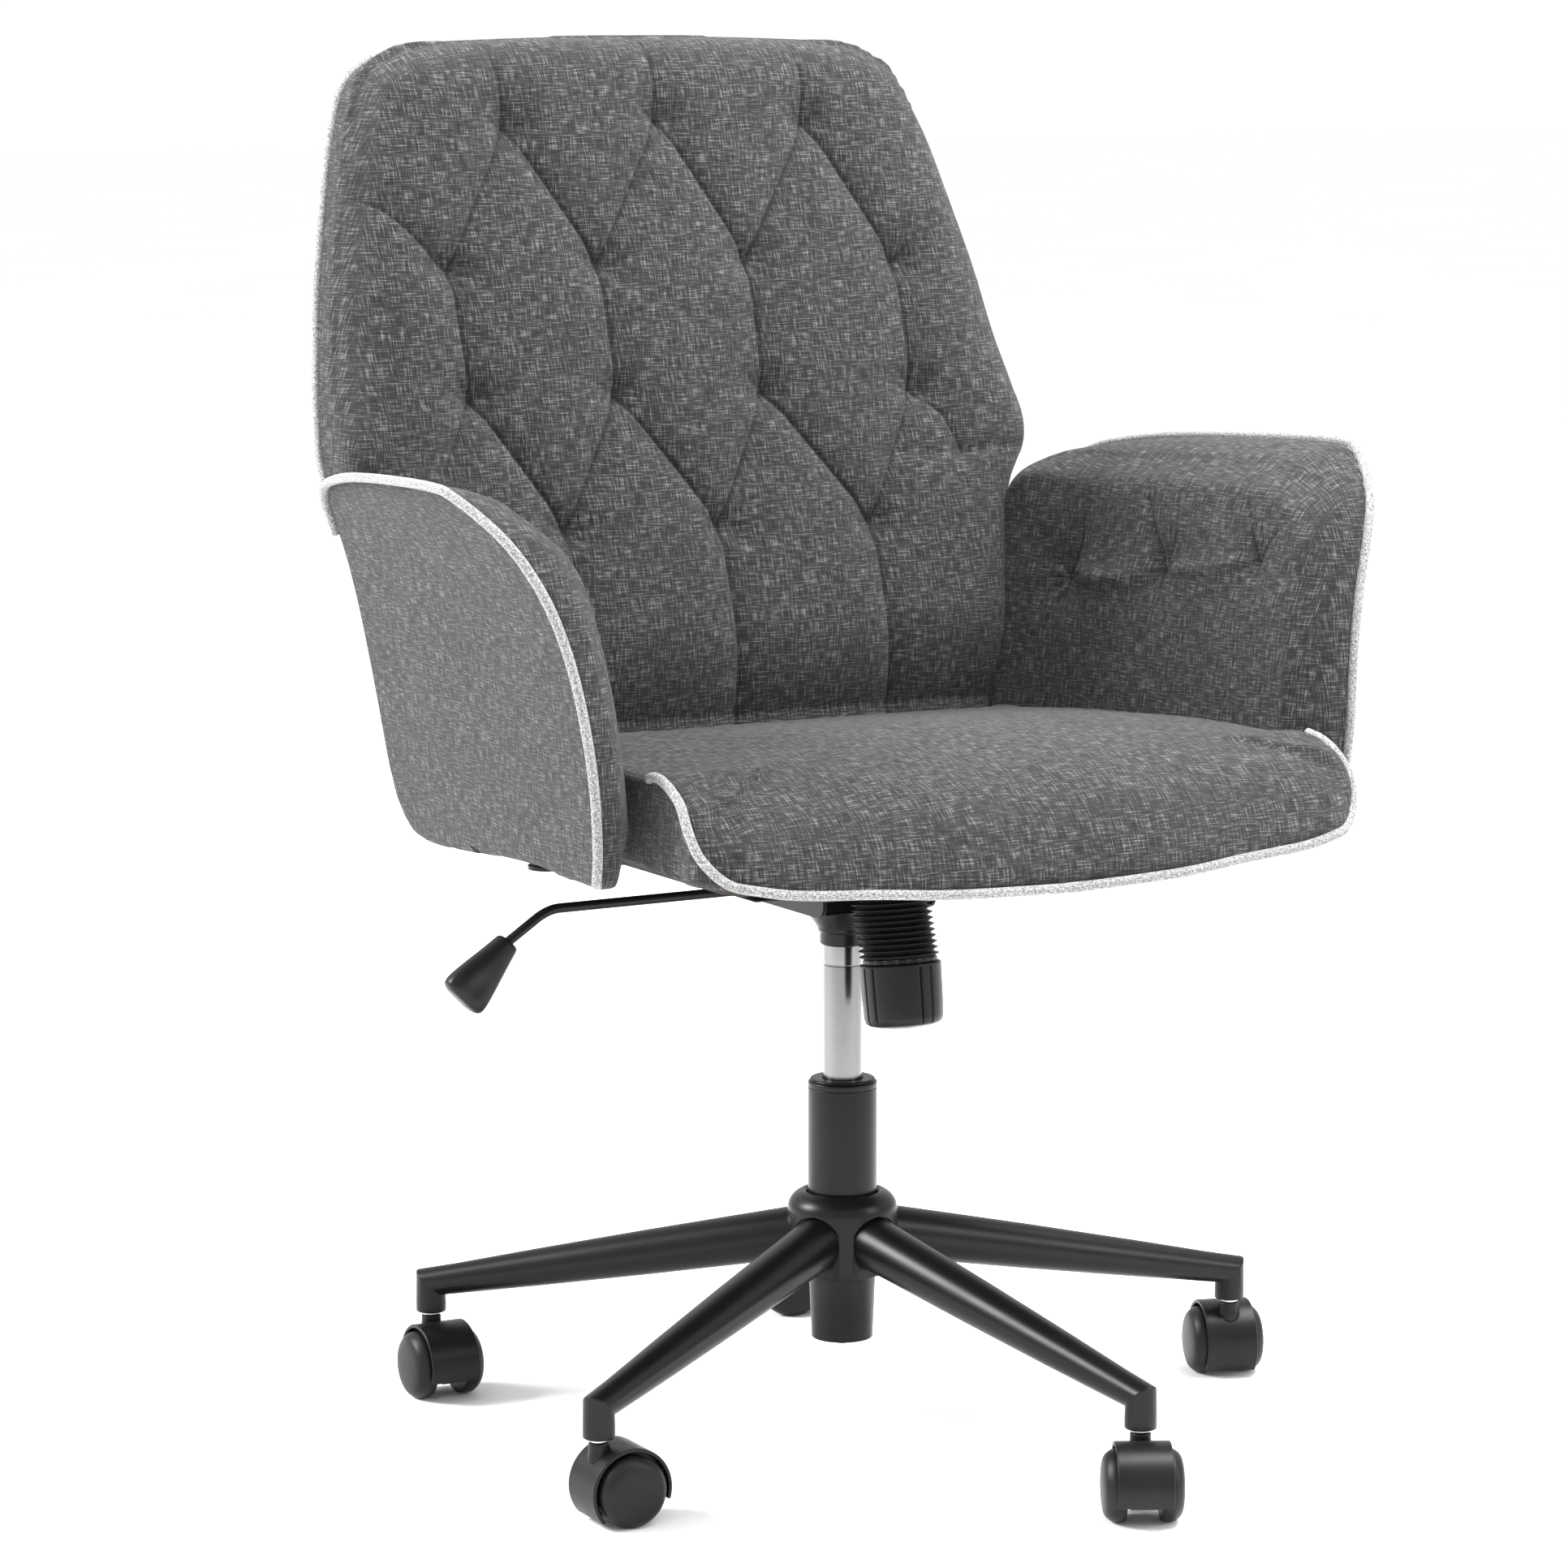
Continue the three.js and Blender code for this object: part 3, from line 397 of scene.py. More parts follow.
def pulled_in(tufts, creases, a, b, tuft_depth, valley):
    """How far stitched padding sinks at tufts and creases, and how much each point's colour is darkened, 0 to
    1, by painted shade round the tufts and in the creases and by the creases' dark stitch thread.

    A tuft is a place (a, b). A crease is a path, its strength at its start and its strength at its end.
    """
    sunk = np.zeros_like(a)
    groove = np.zeros_like(a)
    stitch_and_fold_shade = np.zeros_like(a)
    pucker = np.zeros_like(a)
    for number, (tuft_a, tuft_b) in enumerate(tufts):
        gap = np.hypot(a - tuft_a, b - tuft_b)
        sunk += (tuft_depth * np.exp(-(gap / 18) ** 1.5)) ** 3
        # painted shade: the cloth's colour darkens round each tuft's pit
        stitch_and_fold_shade = np.maximum(stitch_and_fold_shade, 0.8 * np.exp(-(gap / 3.5) ** 2))
        angle = np.arctan2(b - tuft_b, a - tuft_a)
        pucker += 0.5 * np.exp(-((gap - 13) / 8) ** 2) * np.cos(9 * angle + 1.7 * number)
    for path, first, last in creases:
        gap, along, length = path_distance(path, a, b)
        strength = first + (last - first) * along / length
        sunk += (valley * strength * np.exp(-(gap / 14) ** 1.2)) ** 3
        groove = np.maximum(groove, 1.8 * strength * np.exp(-(gap / 1.5) ** 2))
        # painted shade along each crease, with the dashes of its dark stitch thread
        stitch = 0.8 + 0.2 * np.cos(2 * np.pi * along / 5)
        stitch_and_fold_shade = np.maximum(stitch_and_fold_shade, 0.75 * strength * stitch * np.exp(-(gap / 1.4) ** 2))
    return np.cbrt(sunk) + groove + pucker, np.clip(stitch_and_fold_shade, 0, 1)


def mark_stitch_and_fold_shade(piece, stitch_and_fold_shade):
    """Keeps how much painted shade in the creases and round the tufts, and the creases' stitch thread, darken
    each point, for the cloth's colour.
    """
    kept = piece.data.attributes.new("stitch_and_fold_shade", "FLOAT", "POINT")
    kept.data.foreach_set("value", np.ascontiguousarray(stitch_and_fold_shade, np.float32))


def read_points(piece):
    co = np.zeros(len(piece.data.vertices) * 3)
    piece.data.vertices.foreach_get("co", co)
    return co.reshape(-1, 3) / MM


def write_points(piece, points):
    piece.data.vertices.foreach_set("co", (points * MM).ravel())
    piece.data.update()


def subdivided(piece, levels=1):
    modifier = piece.modifiers.new("subdivision", "SUBSURF")
    modifier.levels = levels
    modifier.render_levels = levels
    return apply_modifiers(piece)


def puffed(piece, held, pressure=4.0, cap=12.0, frames=20):
    """Blows the cover up by cloth simulation; held is how firmly each point stays, 0 to 1."""
    rest = read_points(piece)
    double = bpy.data.objects.new("cloth_work", piece.data.copy())
    bpy.context.scene.collection.objects.link(double)
    group = double.vertex_groups.new(name="held")
    for i, weight in enumerate(held):
        if weight > 0.01:
            group.add([i], float(weight), "REPLACE")
    cloth = double.modifiers.new("cloth", "CLOTH")
    settings = cloth.settings
    settings.quality = 5
    settings.mass = 0.3
    settings.tension_stiffness = 15
    settings.compression_stiffness = 15
    settings.shear_stiffness = 5
    settings.bending_stiffness = 0.5
    settings.use_pressure = True
    settings.uniform_pressure_force = pressure
    settings.vertex_group_mass = "held"
    settings.effector_weights.gravity = 0
    cloth.collision_settings.use_collision = False
    cloth.point_cache.frame_start = 1
    cloth.point_cache.frame_end = frames
    scene = bpy.context.scene
    for number in range(1, frames + 1):
        scene.frame_set(number)
    evaluated = double.evaluated_get(bpy.context.evaluated_depsgraph_get())
    move = read_points(evaluated) - rest
    length = np.linalg.norm(move, axis=1)
    move *= (cap / (cap + length))[:, None]
    write_points(piece, rest + move)
    mesh = double.data
    bpy.data.objects.remove(double)
    bpy.data.meshes.remove(mesh)
    scene.frame_set(1)
    return piece


# ---- Materials ----
def new_material(name, base=None, roughness=None, metallic=0.0):
    material = bpy.data.materials.new(name)
    material.use_nodes = True
    shader = material.node_tree.nodes["Principled BSDF"]
    if base is not None:
        shader.inputs["Base Color"].default_value = (*base, 1.0)
    if roughness is not None:
        shader.inputs["Roughness"].default_value = roughness
    shader.inputs["Metallic"].default_value = metallic
    return material, material.node_tree, shader


def node(tree, kind, settings=None, **inputs):
    """A node of the kind; inputs are values or sockets, named with _ for a space, or i0, i1 by number."""
    made = tree.nodes.new(kind)
    for key, value in (settings or {}).items():
        setattr(made, key, value)
    for key, value in inputs.items():
        numbered = key[0] == "i" and key[1:].isdigit()
        socket = made.inputs[int(key[1:]) if numbered else key.replace("_", " ")]
        if isinstance(value, bpy.types.NodeSocket):
            tree.links.new(value, socket)
        else:
            socket.default_value = value
    return made


def math_node(tree, operation, a, b=0.0):
    return node(tree, "ShaderNodeMath", {"operation": operation}, i0=a, i1=b).outputs[0]


def object_coordinates(tree):
    return node(tree, "ShaderNodeTexCoord").outputs["Object"]


def ramp(tree, value, stops):
    made = node(tree, "ShaderNodeValToRGB", Fac=value)
    elements = made.color_ramp.elements
    while len(elements) < len(stops):
        elements.new(0.5)
    for element, (place, colour) in zip(elements, stops):
        element.position = place
        element.color = (*colour, 1.0)
    return made.outputs["Color"]


def noise(tree, vector, scale, detail=2.0, roughness=0.5):
    return node(tree, "ShaderNodeTexNoise", Vector=vector, Scale=scale, Detail=detail,
                Roughness=roughness).outputs["Fac"]


def bump(tree, shader, height, distance):
    made = node(tree, "ShaderNodeBump", Height=height, Distance=distance, Strength=1.0)
    tree.links.new(made.outputs["Normal"], shader.inputs["Normal"])


def coloured(tree, shader, value, stops):
    tree.links.new(ramp(tree, value, stops), shader.inputs["Base Color"])


def roughened(tree, shader, value, low, spread):
    varied = math_node(tree, "ADD", low, math_node(tree, "MULTIPLY", value, spread))
    tree.links.new(varied, shader.inputs["Roughness"])


def stretched(tree, vector, scale):
    return node(tree, "ShaderNodeMapping", Vector=vector, Scale=scale).outputs["Vector"]


def weave_group(pitch, slub):
    """A plain weave in the group's X and Y: Tone is how light the yarn is, Height its rise, both 0 to 1."""
    tree = bpy.data.node_groups.new("weave", "ShaderNodeTree")
    tree.interface.new_socket("Vector", in_out="INPUT", socket_type="NodeSocketVector")
    tree.interface.new_socket("Tone", in_out="OUTPUT", socket_type="NodeSocketFloat")
    tree.interface.new_socket("Height", in_out="OUTPUT", socket_type="NodeSocketFloat")
    vector = node(tree, "NodeGroupInput").outputs["Vector"]
    wander = node(tree, "ShaderNodeTexNoise", Vector=vector, Scale=60.0, Detail=1.0).outputs["Color"]
    wander = node(tree, "ShaderNodeVectorMath", {"operation": "SUBTRACT"}, i0=wander,
                  i1=(0.5, 0.5, 0.5)).outputs[0]
    wander = node(tree, "ShaderNodeVectorMath", {"operation": "SCALE"}, i0=wander,
                  Scale=pitch * 0.9).outputs[0]
    vector = node(tree, "ShaderNodeVectorMath", {"operation": "ADD"}, i0=vector, i1=wander).outputs[0]
    split = node(tree, "ShaderNodeSeparateXYZ", Vector=vector)
    turns = math.pi / pitch
    rows = math_node(tree, "SINE", math_node(tree, "MULTIPLY", split.outputs["X"], turns))
    columns = math_node(tree, "SINE", math_node(tree, "MULTIPLY", split.outputs["Y"], turns))
    over = math_node(tree, "GREATER_THAN", math_node(tree, "MULTIPLY", rows, columns), 0.0)
    warp_rise = math_node(tree, "ABSOLUTE", rows)
    weft_rise = math_node(tree, "ABSOLUTE", columns)
    height = node(tree, "ShaderNodeMix", {"data_type": "FLOAT"}, Factor=over, A=warp_rise,
                  B=weft_rise).outputs[0]
    warp_tone = noise(tree, stretched(tree, vector, (0.8 / pitch, slub / pitch, 1.0)), 1.0, 1.0, 0.5)
    weft_tone = noise(tree, stretched(tree, vector, (slub / pitch, 0.8 / pitch, 1.0)), 1.0, 1.0, 0.5)
    crossing = node(tree, "ShaderNodeMix", {"data_type": "FLOAT"}, Factor=over, A=warp_tone,
                    B=weft_tone).outputs[0]
    both = math_node(tree, "ADD", warp_tone, weft_tone)
    tone = math_node(tree, "ADD", math_node(tree, "MULTIPLY", both, BOTH_YARNS / 2),
                     math_node(tree, "MULTIPLY", crossing, 1 - BOTH_YARNS))
    result = node(tree, "NodeGroupOutput")
    tree.links.new(tone, result.inputs["Tone"])
    tree.links.new(height, result.inputs["Height"])
    return tree


def woven(name, group, stops, roughness, relief, sheen):
    """Cloth of one weave along all three axes, mixed by the way the surface faces, with painted shade
    darkening its creases and tufts and the dark stitch thread along its creases.
    """
    material, tree, shader = new_material(name, roughness=roughness)
    place = node(tree, "ShaderNodeSeparateXYZ", Vector=object_coordinates(tree))
    facing = node(tree, "ShaderNodeSeparateXYZ", Vector=node(tree, "ShaderNodeTexCoord").outputs["Normal"])
    weights = {axis: math_node(tree, "POWER", math_node(tree, "ABSOLUTE", facing.outputs[axis]),
            9.0) for axis in "XYZ"}
    total = math_node(tree, "ADD", math_node(tree, "ADD", weights["X"], weights["Y"]), weights["Z"])
    tones = []
    heights = []
    for axis, (across, along) in {"X": "YZ", "Y": "XZ", "Z": "XY"}.items():
        flat = node(tree, "ShaderNodeCombineXYZ", X=place.outputs[across], Y=place.outputs[along]).outputs[0]
        cloth = node(tree, "ShaderNodeGroup", {"node_tree": group}, Vector=flat)
        share = math_node(tree, "DIVIDE", weights[axis], total)
        tones.append(math_node(tree, "MULTIPLY", cloth.outputs["Tone"], share))
        heights.append(math_node(tree, "MULTIPLY", cloth.outputs["Height"], share))
    tone = math_node(tree, "ADD", math_node(tree, "ADD", tones[0], tones[1]), tones[2])
    height = math_node(tree, "ADD", math_node(tree, "ADD", heights[0], heights[1]), heights[2])
    patches = noise(tree, object_coordinates(tree), 22.0, 3.0, 0.6)
    tone = math_node(tree, "ADD", tone, math_node(tree, "MULTIPLY",
            math_node(tree, "SUBTRACT", patches, 0.5), 0.06))
    # painted shade: the yarn's colour is darker where the weave sinks between its threads
    shaded = math_node(tree, "ADD", tone, math_node(tree, "MULTIPLY",
            math_node(tree, "SUBTRACT", height, 0.6), 0.08))
    # painted shade in the creases and round the tufts, with the stitch thread, darkens the cloth's colour
    stitch_and_fold_shade = node(tree, "ShaderNodeAttribute", {"attribute_name": "stitch_and_fold_shade"}).outputs["Fac"]
    cloth_colour = ramp(tree, shaded, stops)
    folded = node(tree, "ShaderNodeMix", {"data_type": "RGBA"}, Factor=stitch_and_fold_shade)
    tree.links.new(cloth_colour, folded.inputs[6])
    folded.inputs[7].default_value = (*(0.25 * c for c in stops[0][1]), 1.0)
    tree.links.new(folded.outputs[2], shader.inputs["Base Color"])
    shader.inputs["Sheen Weight"].default_value = sheen
    shader.inputs["Sheen Roughness"].default_value = 0.6
    shader.inputs["Specular IOR Level"].default_value = 0.25
    bump(tree, shader, height, relief)
    return material


def coated_metal():
    """Black satin powder coat: a fine even grain with slow drifts in gloss."""
    material, tree, shader = new_material("coated_steel", (0.0085, 0.0085, 0.009), 0.4)
    shader.inputs["Specular IOR Level"].default_value = 0.2
    place = object_coordinates(tree)
    drift = noise(tree, place, 25.0, 3.0)
    roughened(tree, shader, drift, 0.24, 0.14)
    coloured(tree, shader, noise(tree, place, 2500.0, 1.0), [(0.3, (0.004, 0.004, 0.0043)),
            (0.75, (0.008, 0.008, 0.0083))])
    bump(tree, shader, noise(tree, place, 1800.0, 2.0), 0.00006)
    return material


def moulded_plastic(name, dark, light, roughness, grain=3200.0):
    """Black moulded plastic with a fine spark-eroded grain."""
    material, tree, shader = new_material(name, dark, roughness)
    shader.inputs["Specular IOR Level"].default_value = 0.2
    place = object_coordinates(tree)
    coloured(tree, shader, noise(tree, place, 40.0, 4.0), [(0.3, dark), (0.8, light)])
    drift = noise(tree, place, 60.0, 2.0)
    roughened(tree, shader, drift, roughness - 0.06, 0.12)
    bump(tree, shader, noise(tree, place, grain, 1.0), 0.00005)
    return material


def ground_steel(name, colour, roughness, lines=5200.0):
    """Bright steel with the fine rings that turning and grinding leave round it."""
    material, tree, shader = new_material(name, colour, roughness, 1.0)
    place = object_coordinates(tree)
    rings = noise(tree, stretched(tree, place, (30.0, 30.0, lines)), 1.0, 2.0)
    low = tuple(c * 0.88 for c in colour)
    coloured(tree, shader, rings, [(0.3, low), (0.7, colour)])
    roughened(tree, shader, rings, roughness - 0.05, 0.12)
    bump(tree, shader, rings, 0.00002)
    return material


def plain_wood():
    """Plywood with a dark stain, its face grain along Y."""
    material, tree, shader = new_material("plywood", roughness=0.62)
    place = object_coordinates(tree)
    grain = noise(tree, stretched(tree, place, (180.0, 9.0, 60.0)), 1.0, 5.0, 0.65)
    coloured(tree, shader, grain, [(0.3, (0.016, 0.011, 0.008)), (0.7, (0.034, 0.024, 0.017))])
    bump(tree, shader, grain, 0.0001)
    return material


def felt():
    """Black non-woven dust cloth with its pressed dots."""
    material, tree, shader = new_material("dust_cloth", roughness=0.95)
    place = object_coordinates(tree)
    dots = node(tree, "ShaderNodeTexVoronoi", Vector=place, Scale=700.0).outputs["Distance"]
    coloured(tree, shader, dots, [(0.1, (0.006, 0.006, 0.006)), (0.6, (0.018, 0.018, 0.019))])
    bump(tree, shader, dots, 0.0002)
    return material


LINEN_TONES = [(0.34, (0.005, 0.005, 0.0052)), (0.46, (0.016, 0.016, 0.0168)), (0.55, (0.034, 0.034, 0.0356)),
               (0.66, (0.155, 0.155, 0.16))]
HEATHER_TONES = [(0.36, (0.10, 0.10, 0.103)), (0.5, (0.27, 0.27, 0.27)), (0.62, (0.50, 0.50, 0.50))]
BOTH_YARNS = 0.6
linen = woven("linen", weave_group(0.0008, 0.065), LINEN_TONES, 0.92, 0.0002, 0.08)
heather = woven("heather", weave_group(0.0007, 0.3), HEATHER_TONES, 0.9, 0.00016, 0.1)
coated = coated_metal()
plastic = moulded_plastic("black_plastic", (0.005, 0.005, 0.005), (0.009, 0.009, 0.009), 0.34)
tread = moulded_plastic("castor_tread", (0.006, 0.006, 0.006), (0.010, 0.010, 0.010), 0.4)
rubber = moulded_plastic("bellows_rubber", (0.008, 0.008, 0.008), (0.012, 0.012, 0.012), 0.34)
bright = ground_steel("bright_steel", (0.20, 0.20, 0.205), 0.2)
zinc = ground_steel("zinc_steel", (0.55, 0.55, 0.56), 0.3, 900.0)
grey_steel = ground_steel("spring_steel", (0.16, 0.16, 0.17), 0.4, 900.0)
plywood = plain_wood()
dust_cloth = felt()

BY_SLOT = {"coated_steel": coated, "bright_steel": bright, "spring_steel": grey_steel,
           "black_plastic": plastic,
           "bellows_rubber": rubber, "linen": linen, "plywood": plywood, "dust_cloth": dust_cloth}
for part in frame["record"]["subparts"]:
    slots = frame["nodes"][part["node"]].data.materials
    slots.clear()
    slots.append(BY_SLOT[part["material_slot"]])


# ---- Base ----
def leg_turn(index):
    return rotation("Z", FIRST_LEG_ANGLE + index * 360 / LEG_COUNT)


def make_hub():
    hub = turned("hub", [
        (23.5, HUB_BOTTOM, 0), (HUB_RADIUS - 1.5, HUB_BOTTOM, 1.5), (HUB_RADIUS, HUB_BOTTOM + 1.5, 1),
        (HUB_RADIUS, HUB_SHOULDER, 5), (HUB_RADIUS - 5, HUB_SHOULDER + 7, 4),
        (COLUMN_RADIUS + 3.5, HUB_TOP, 1.5), (COLUMN_RADIUS + 1.2, HUB_TOP - 1.5, 1), (23.5, HUB_TOP - 6, 0),
        (23.5, HUB_BOTTOM, 0)], "base", coated, 120)
    half = LEG_ROOT_RADIUS + 1.6
    outline = [(-half, HUB_BOTTOM - 20), (half, HUB_BOTTOM - 20), *arc((0, LEG_ROOT), half, 0, 180, 25)]
    for index in range(LEG_COUNT):
        cutter = extruded("recess", outline, 12, None, coated, 0)
        moved(cutter, Matrix.Translation((0, -LEG_ROOT_REACH - 11, 0)) @ rotation("X", 90))
        moved(cutter, leg_turn(index))
        hole = hub.modifiers.new("recess", "BOOLEAN")
        hole.operation = "DIFFERENCE"
        hole.solver = "EXACT"
        hole.object = cutter
        apply_modifiers(hub)
        bpy.data.objects.remove(cutter)
    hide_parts("base_hub")
    return bevelled(clean(hub), 0.7, 2, 40)


def make_leg(index):
    """A tapered tube mitred onto the upright socket, with a thin weld line at the mitre."""
    sides = 64
    run = STEM_CIRCLE - LEG_ROOT_REACH
    drop = LEG_ROOT - LEG_TIP
    slope = math.atan2(drop, run)
    mitre = (math.pi / 2 - slope) / 2
    along = np.array((0, -math.cos(slope), -math.sin(slope)))
    up = np.array((0, -math.sin(slope), math.cos(slope)))
    across = np.array((1.0, 0, 0))
    root = np.array((0, -LEG_ROOT_REACH, LEG_ROOT))
    tip = np.array((0, -STEM_CIRCLE, LEG_TIP))
    length = np.linalg.norm(tip - root)
    cut_normal = np.array((0, math.sin(mitre), math.cos(mitre)))
    rings = []
    angles = np.linspace(0, 2 * np.pi, sides, endpoint=False)
    outwards = np.array((0, -1.0, 0))
    corner = [tip + (SOCKET_RADIUS + 0.3) * (math.cos(a) * across + math.sin(a) * outwards) for a in angles]
    corner = [p - np.array((0, 0, 1)) * (p - tip).dot(cut_normal) / cut_normal[2] for p in corner]
    for share in (-0.02, 0.15, 0.4, 0.7, 0.93):
        centre = root + along * length * share
        swell = 0.9 * math.sin(math.pi * max(share, 0))
        radius = LEG_ROOT_RADIUS + (SOCKET_RADIUS - LEG_ROOT_RADIUS) * share + swell
        rings.append([centre + radius * (math.cos(a) * across + math.sin(a) * up) for a in angles])
    rings += [corner]
    # The socket's wall down to its rounded mouth: height, and how much narrower it is there.
    for height, narrower in ((LEG_TIP - 14, 0), (SOCKET_BOTTOM + 1.0, 0), (SOCKET_BOTTOM + 0.2, 0.2),
            (SOCKET_BOTTOM, 0.9)):
        radius = SOCKET_RADIUS + 0.6 - narrower
        rings.append([(radius * math.cos(a), -STEM_CIRCLE - radius * math.sin(a), height) for a in angles])
    rings.append([(5.5 * math.cos(a), -STEM_CIRCLE - 5.5 * math.sin(a), SOCKET_BOTTOM) for a in angles])
    rings.append([(5.5 * math.cos(a), -STEM_CIRCLE - 5.5 * math.sin(a), LEG_TIP - 6) for a in angles])
    leg = clean(add_piece(f"leg_tube_{index + 1}", *capped_skin(rings), "base", coated))
    moved(leg, leg_turn(index))
    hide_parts(f"leg_{index + 1}")
    return bevelled(leg, 0.9, 3, 25)


def make_castor(index):
    """Twin wheels under a hood that trails its stem; drawn with the stem on Z, trailing along +X."""
    number = index + 1
    turn = math.radians(FIRST_LEG_ANGLE + index * 360 / LEG_COUNT)
    place = (Matrix.Translation((STEM_CIRCLE * math.sin(turn), -STEM_CIRCLE * math.cos(turn), 0))
             @ rotation("Z", CASTOR_TRAILS[index]))
    axle = Matrix.Translation((AXLE_OFFSET, 0, AXLE_HEIGHT))
    upright = rotation("X", 90)
    body = f"castor_{number}"

    outer = arc((0, 0), HOOD_RADIUS, -17, 222, 49)
    inner = arc((0, 0), HOOD_RADIUS - HOOD_WALL, 222, -17, 49)
    wall = extruded(f"castor_{number}_hood_wall", outer + inner, HOOD_HALF_WIDTH, body, plastic, 0.9, 3)
    moved(wall, place @ axle @ upright)
    web_outline = arc((0, 0), HOOD_RADIUS - 1.2, -20, 200, 46)
    web = extruded(f"castor_{number}_web", web_outline, 11.3, body, plastic, 1.2, 3)
    moved(web, place @ axle @ upright)
    neck = turned(f"castor_{number}_neck", [
        (0, AXLE_HEIGHT + 10, 0), (8.4, AXLE_HEIGHT + 20, 0), (7.3, AXLE_HEIGHT + 27, 2),
        (7.2, HOOD_TOP - 0.8, 0.4),
        (6.8, HOOD_TOP, 0.3), (5.4, HOOD_TOP, 0), (0, HOOD_TOP - 1, 0)], body, plastic, 40)
    moved(neck, place)
    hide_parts(f"castor_{number}_hood")

    stem = turned(f"castor_{number}_ring", [
        (0, HOOD_TOP - 13, 0), (4.9, HOOD_TOP - 13, 0), (4.9, HOOD_TOP + 0.4, 0), (6.6, HOOD_TOP + 0.4, 0.3),
        (7.0, HOOD_TOP + 1.2, 0.4), (6.8, SOCKET_BOTTOM - 0.2, 0.3), (4.9, SOCKET_BOTTOM - 0.2, 0),
        (4.9, LEG_TIP - 8, 0), (0, LEG_TIP - 8, 0)], "base", zinc, 40)
    moved(stem, place)
    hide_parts(f"castor_{number}_stem")

    for side, tilt in (("left", 90), ("right", -90)):
        spin = f"castor_{number}_{side}"
        wheel = turned(f"castor_{number}_tyre_{side}", [
            (0, WHEEL_INNER, 0), (WHEEL_RADIUS - 3, WHEEL_INNER, 0), (WHEEL_RADIUS - 0.6, WHEEL_INNER, 1.5),
            (WHEEL_RADIUS - 0.1, WHEEL_INNER + 4, 2), (WHEEL_RADIUS - 0.1, 20.2, 1.5),
            (WHEEL_RADIUS - 1.2, 22.4, 1.5),
            (WHEEL_RADIUS - 4, WHEEL_OUTER - 2.5, 3), (WHEEL_RADIUS * 0.66, WHEEL_OUTER - 0.9, 4),
            (8, WHEEL_OUTER - 0.1, 4), (0, WHEEL_OUTER, 0)],
            spin, tread, 72)
        moved(wheel, place @ axle @ rotation("X", tilt))
        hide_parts(f"castor_{number}_wheel_{side}")


def make_column():
    column = turned("column", [
        (5.5, COLUMN_BOTTOM, 0), (COLUMN_FOOT_RADIUS - 6, COLUMN_BOTTOM, 1),
        (COLUMN_FOOT_RADIUS, COLUMN_BOTTOM, 0.8),
        (COLUMN_FOOT_RADIUS + 0.1, COLUMN_BOTTOM + 3, 0.5), (COLUMN_RADIUS - 0.9, HUB_BOTTOM - 4.4, 0),
        (COLUMN_RADIUS - 0.1, HUB_BOTTOM - 4, 0.3), (COLUMN_RADIUS, HUB_TOP - 4, 1),
        (COLUMN_RADIUS, HUB_TOP, 1),
        (COLUMN_RADIUS, COLUMN_TOP - 5.4, 0.2), (COLUMN_RADIUS - 0.35, COLUMN_TOP - 5.1, 0.2),
        (COLUMN_RADIUS - 0.35, COLUMN_TOP - 4.7, 0.2), (COLUMN_RADIUS, COLUMN_TOP - 4.4, 0.2),
        (COLUMN_RADIUS, COLUMN_TOP - 1, 0.8), (COLUMN_RADIUS - 1, COLUMN_TOP, 0.6), (21.6, COLUMN_TOP, 0),
        (21.6, HUB_TOP, 0), (19, COLUMN_BOTTOM + 4.2, 0), (5.5, COLUMN_BOTTOM + 4.2, 0),
        (5.5, COLUMN_BOTTOM, 0)],
        "base", coated, 120, 4)
    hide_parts("column_tube")
    foot = turned("rod_clip", [
        (0, COLUMN_BOTTOM - 5, 0), (3.6, COLUMN_BOTTOM - 5, 0.6), (4.9, COLUMN_BOTTOM - 3.6, 0.5),
        (4.9, COLUMN_BOTTOM - 2.4, 0.1), (8.6, COLUMN_BOTTOM - 2.2, 0.3), (8.6, COLUMN_BOTTOM - 0.4, 0.2),
        (0, COLUMN_BOTTOM - 0.4, 0)], "spindle", zinc, 48)
    bush = turned("bush_rim", [
        (CYLINDER_RADIUS + 0.4, COLUMN_TOP - 20, 0), (21.2, COLUMN_TOP - 20, 0), (21.2, COLUMN_TOP + 0.3, 0),
        (COLUMN_RADIUS - 1.3, COLUMN_TOP + 0.3, 0.3), (COLUMN_RADIUS - 2, COLUMN_TOP + 1.8, 0.8),
        (CYLINDER_RADIUS + 1.4, COLUMN_TOP + 1.8, 0.5), (CYLINDER_RADIUS + 0.4, COLUMN_TOP + 0.8, 0.3),
        (CYLINDER_RADIUS + 0.4, COLUMN_TOP - 20, 0)], "base", plastic, 96)
    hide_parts("column_bush")
    return column, foot


def make_cylinder():
    cylinder = turned("lift_cylinder", [
        (11.5, CYLINDER_BOTTOM, 0), (CYLINDER_RADIUS - 0.8, CYLINDER_BOTTOM, 0.6),
        (CYLINDER_RADIUS, CYLINDER_BOTTOM + 1, 0.4),
        (CYLINDER_RADIUS, COLLAR_BOTTOM - 15, 0.1), (CYLINDER_RADIUS - 0.3, COLLAR_BOTTOM - 14.6, 0.1),
        (CYLINDER_RADIUS - 0.3, COLLAR_BOTTOM - 14.1, 0.1), (CYLINDER_RADIUS, COLLAR_BOTTOM - 13.7, 0.1),
        (CYLINDER_RADIUS, COLLAR_BOTTOM - 0.2, 0.1), (CYLINDER_RADIUS - 0.4, COLLAR_BOTTOM + 3, 0.3),
        (CYLINDER_RADIUS - 1.1, CYLINDER_TOP - 2, 1), (4.4, CYLINDER_TOP, 0), (4.4, CYLINDER_TOP - 22, 0),
        (0, CYLINDER_TOP - 22, 0),
        (0, CYLINDER_TOP - 40, 0), (11.5, CYLINDER_TOP - 40, 0), (11.5, CYLINDER_BOTTOM, 0)],
        "lift", bright, 96)
    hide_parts("gas_cylinder")


make_hub()
for leg_index in range(LEG_COUNT):
    make_leg(leg_index)
    make_castor(leg_index)
make_column()
make_cylinder()


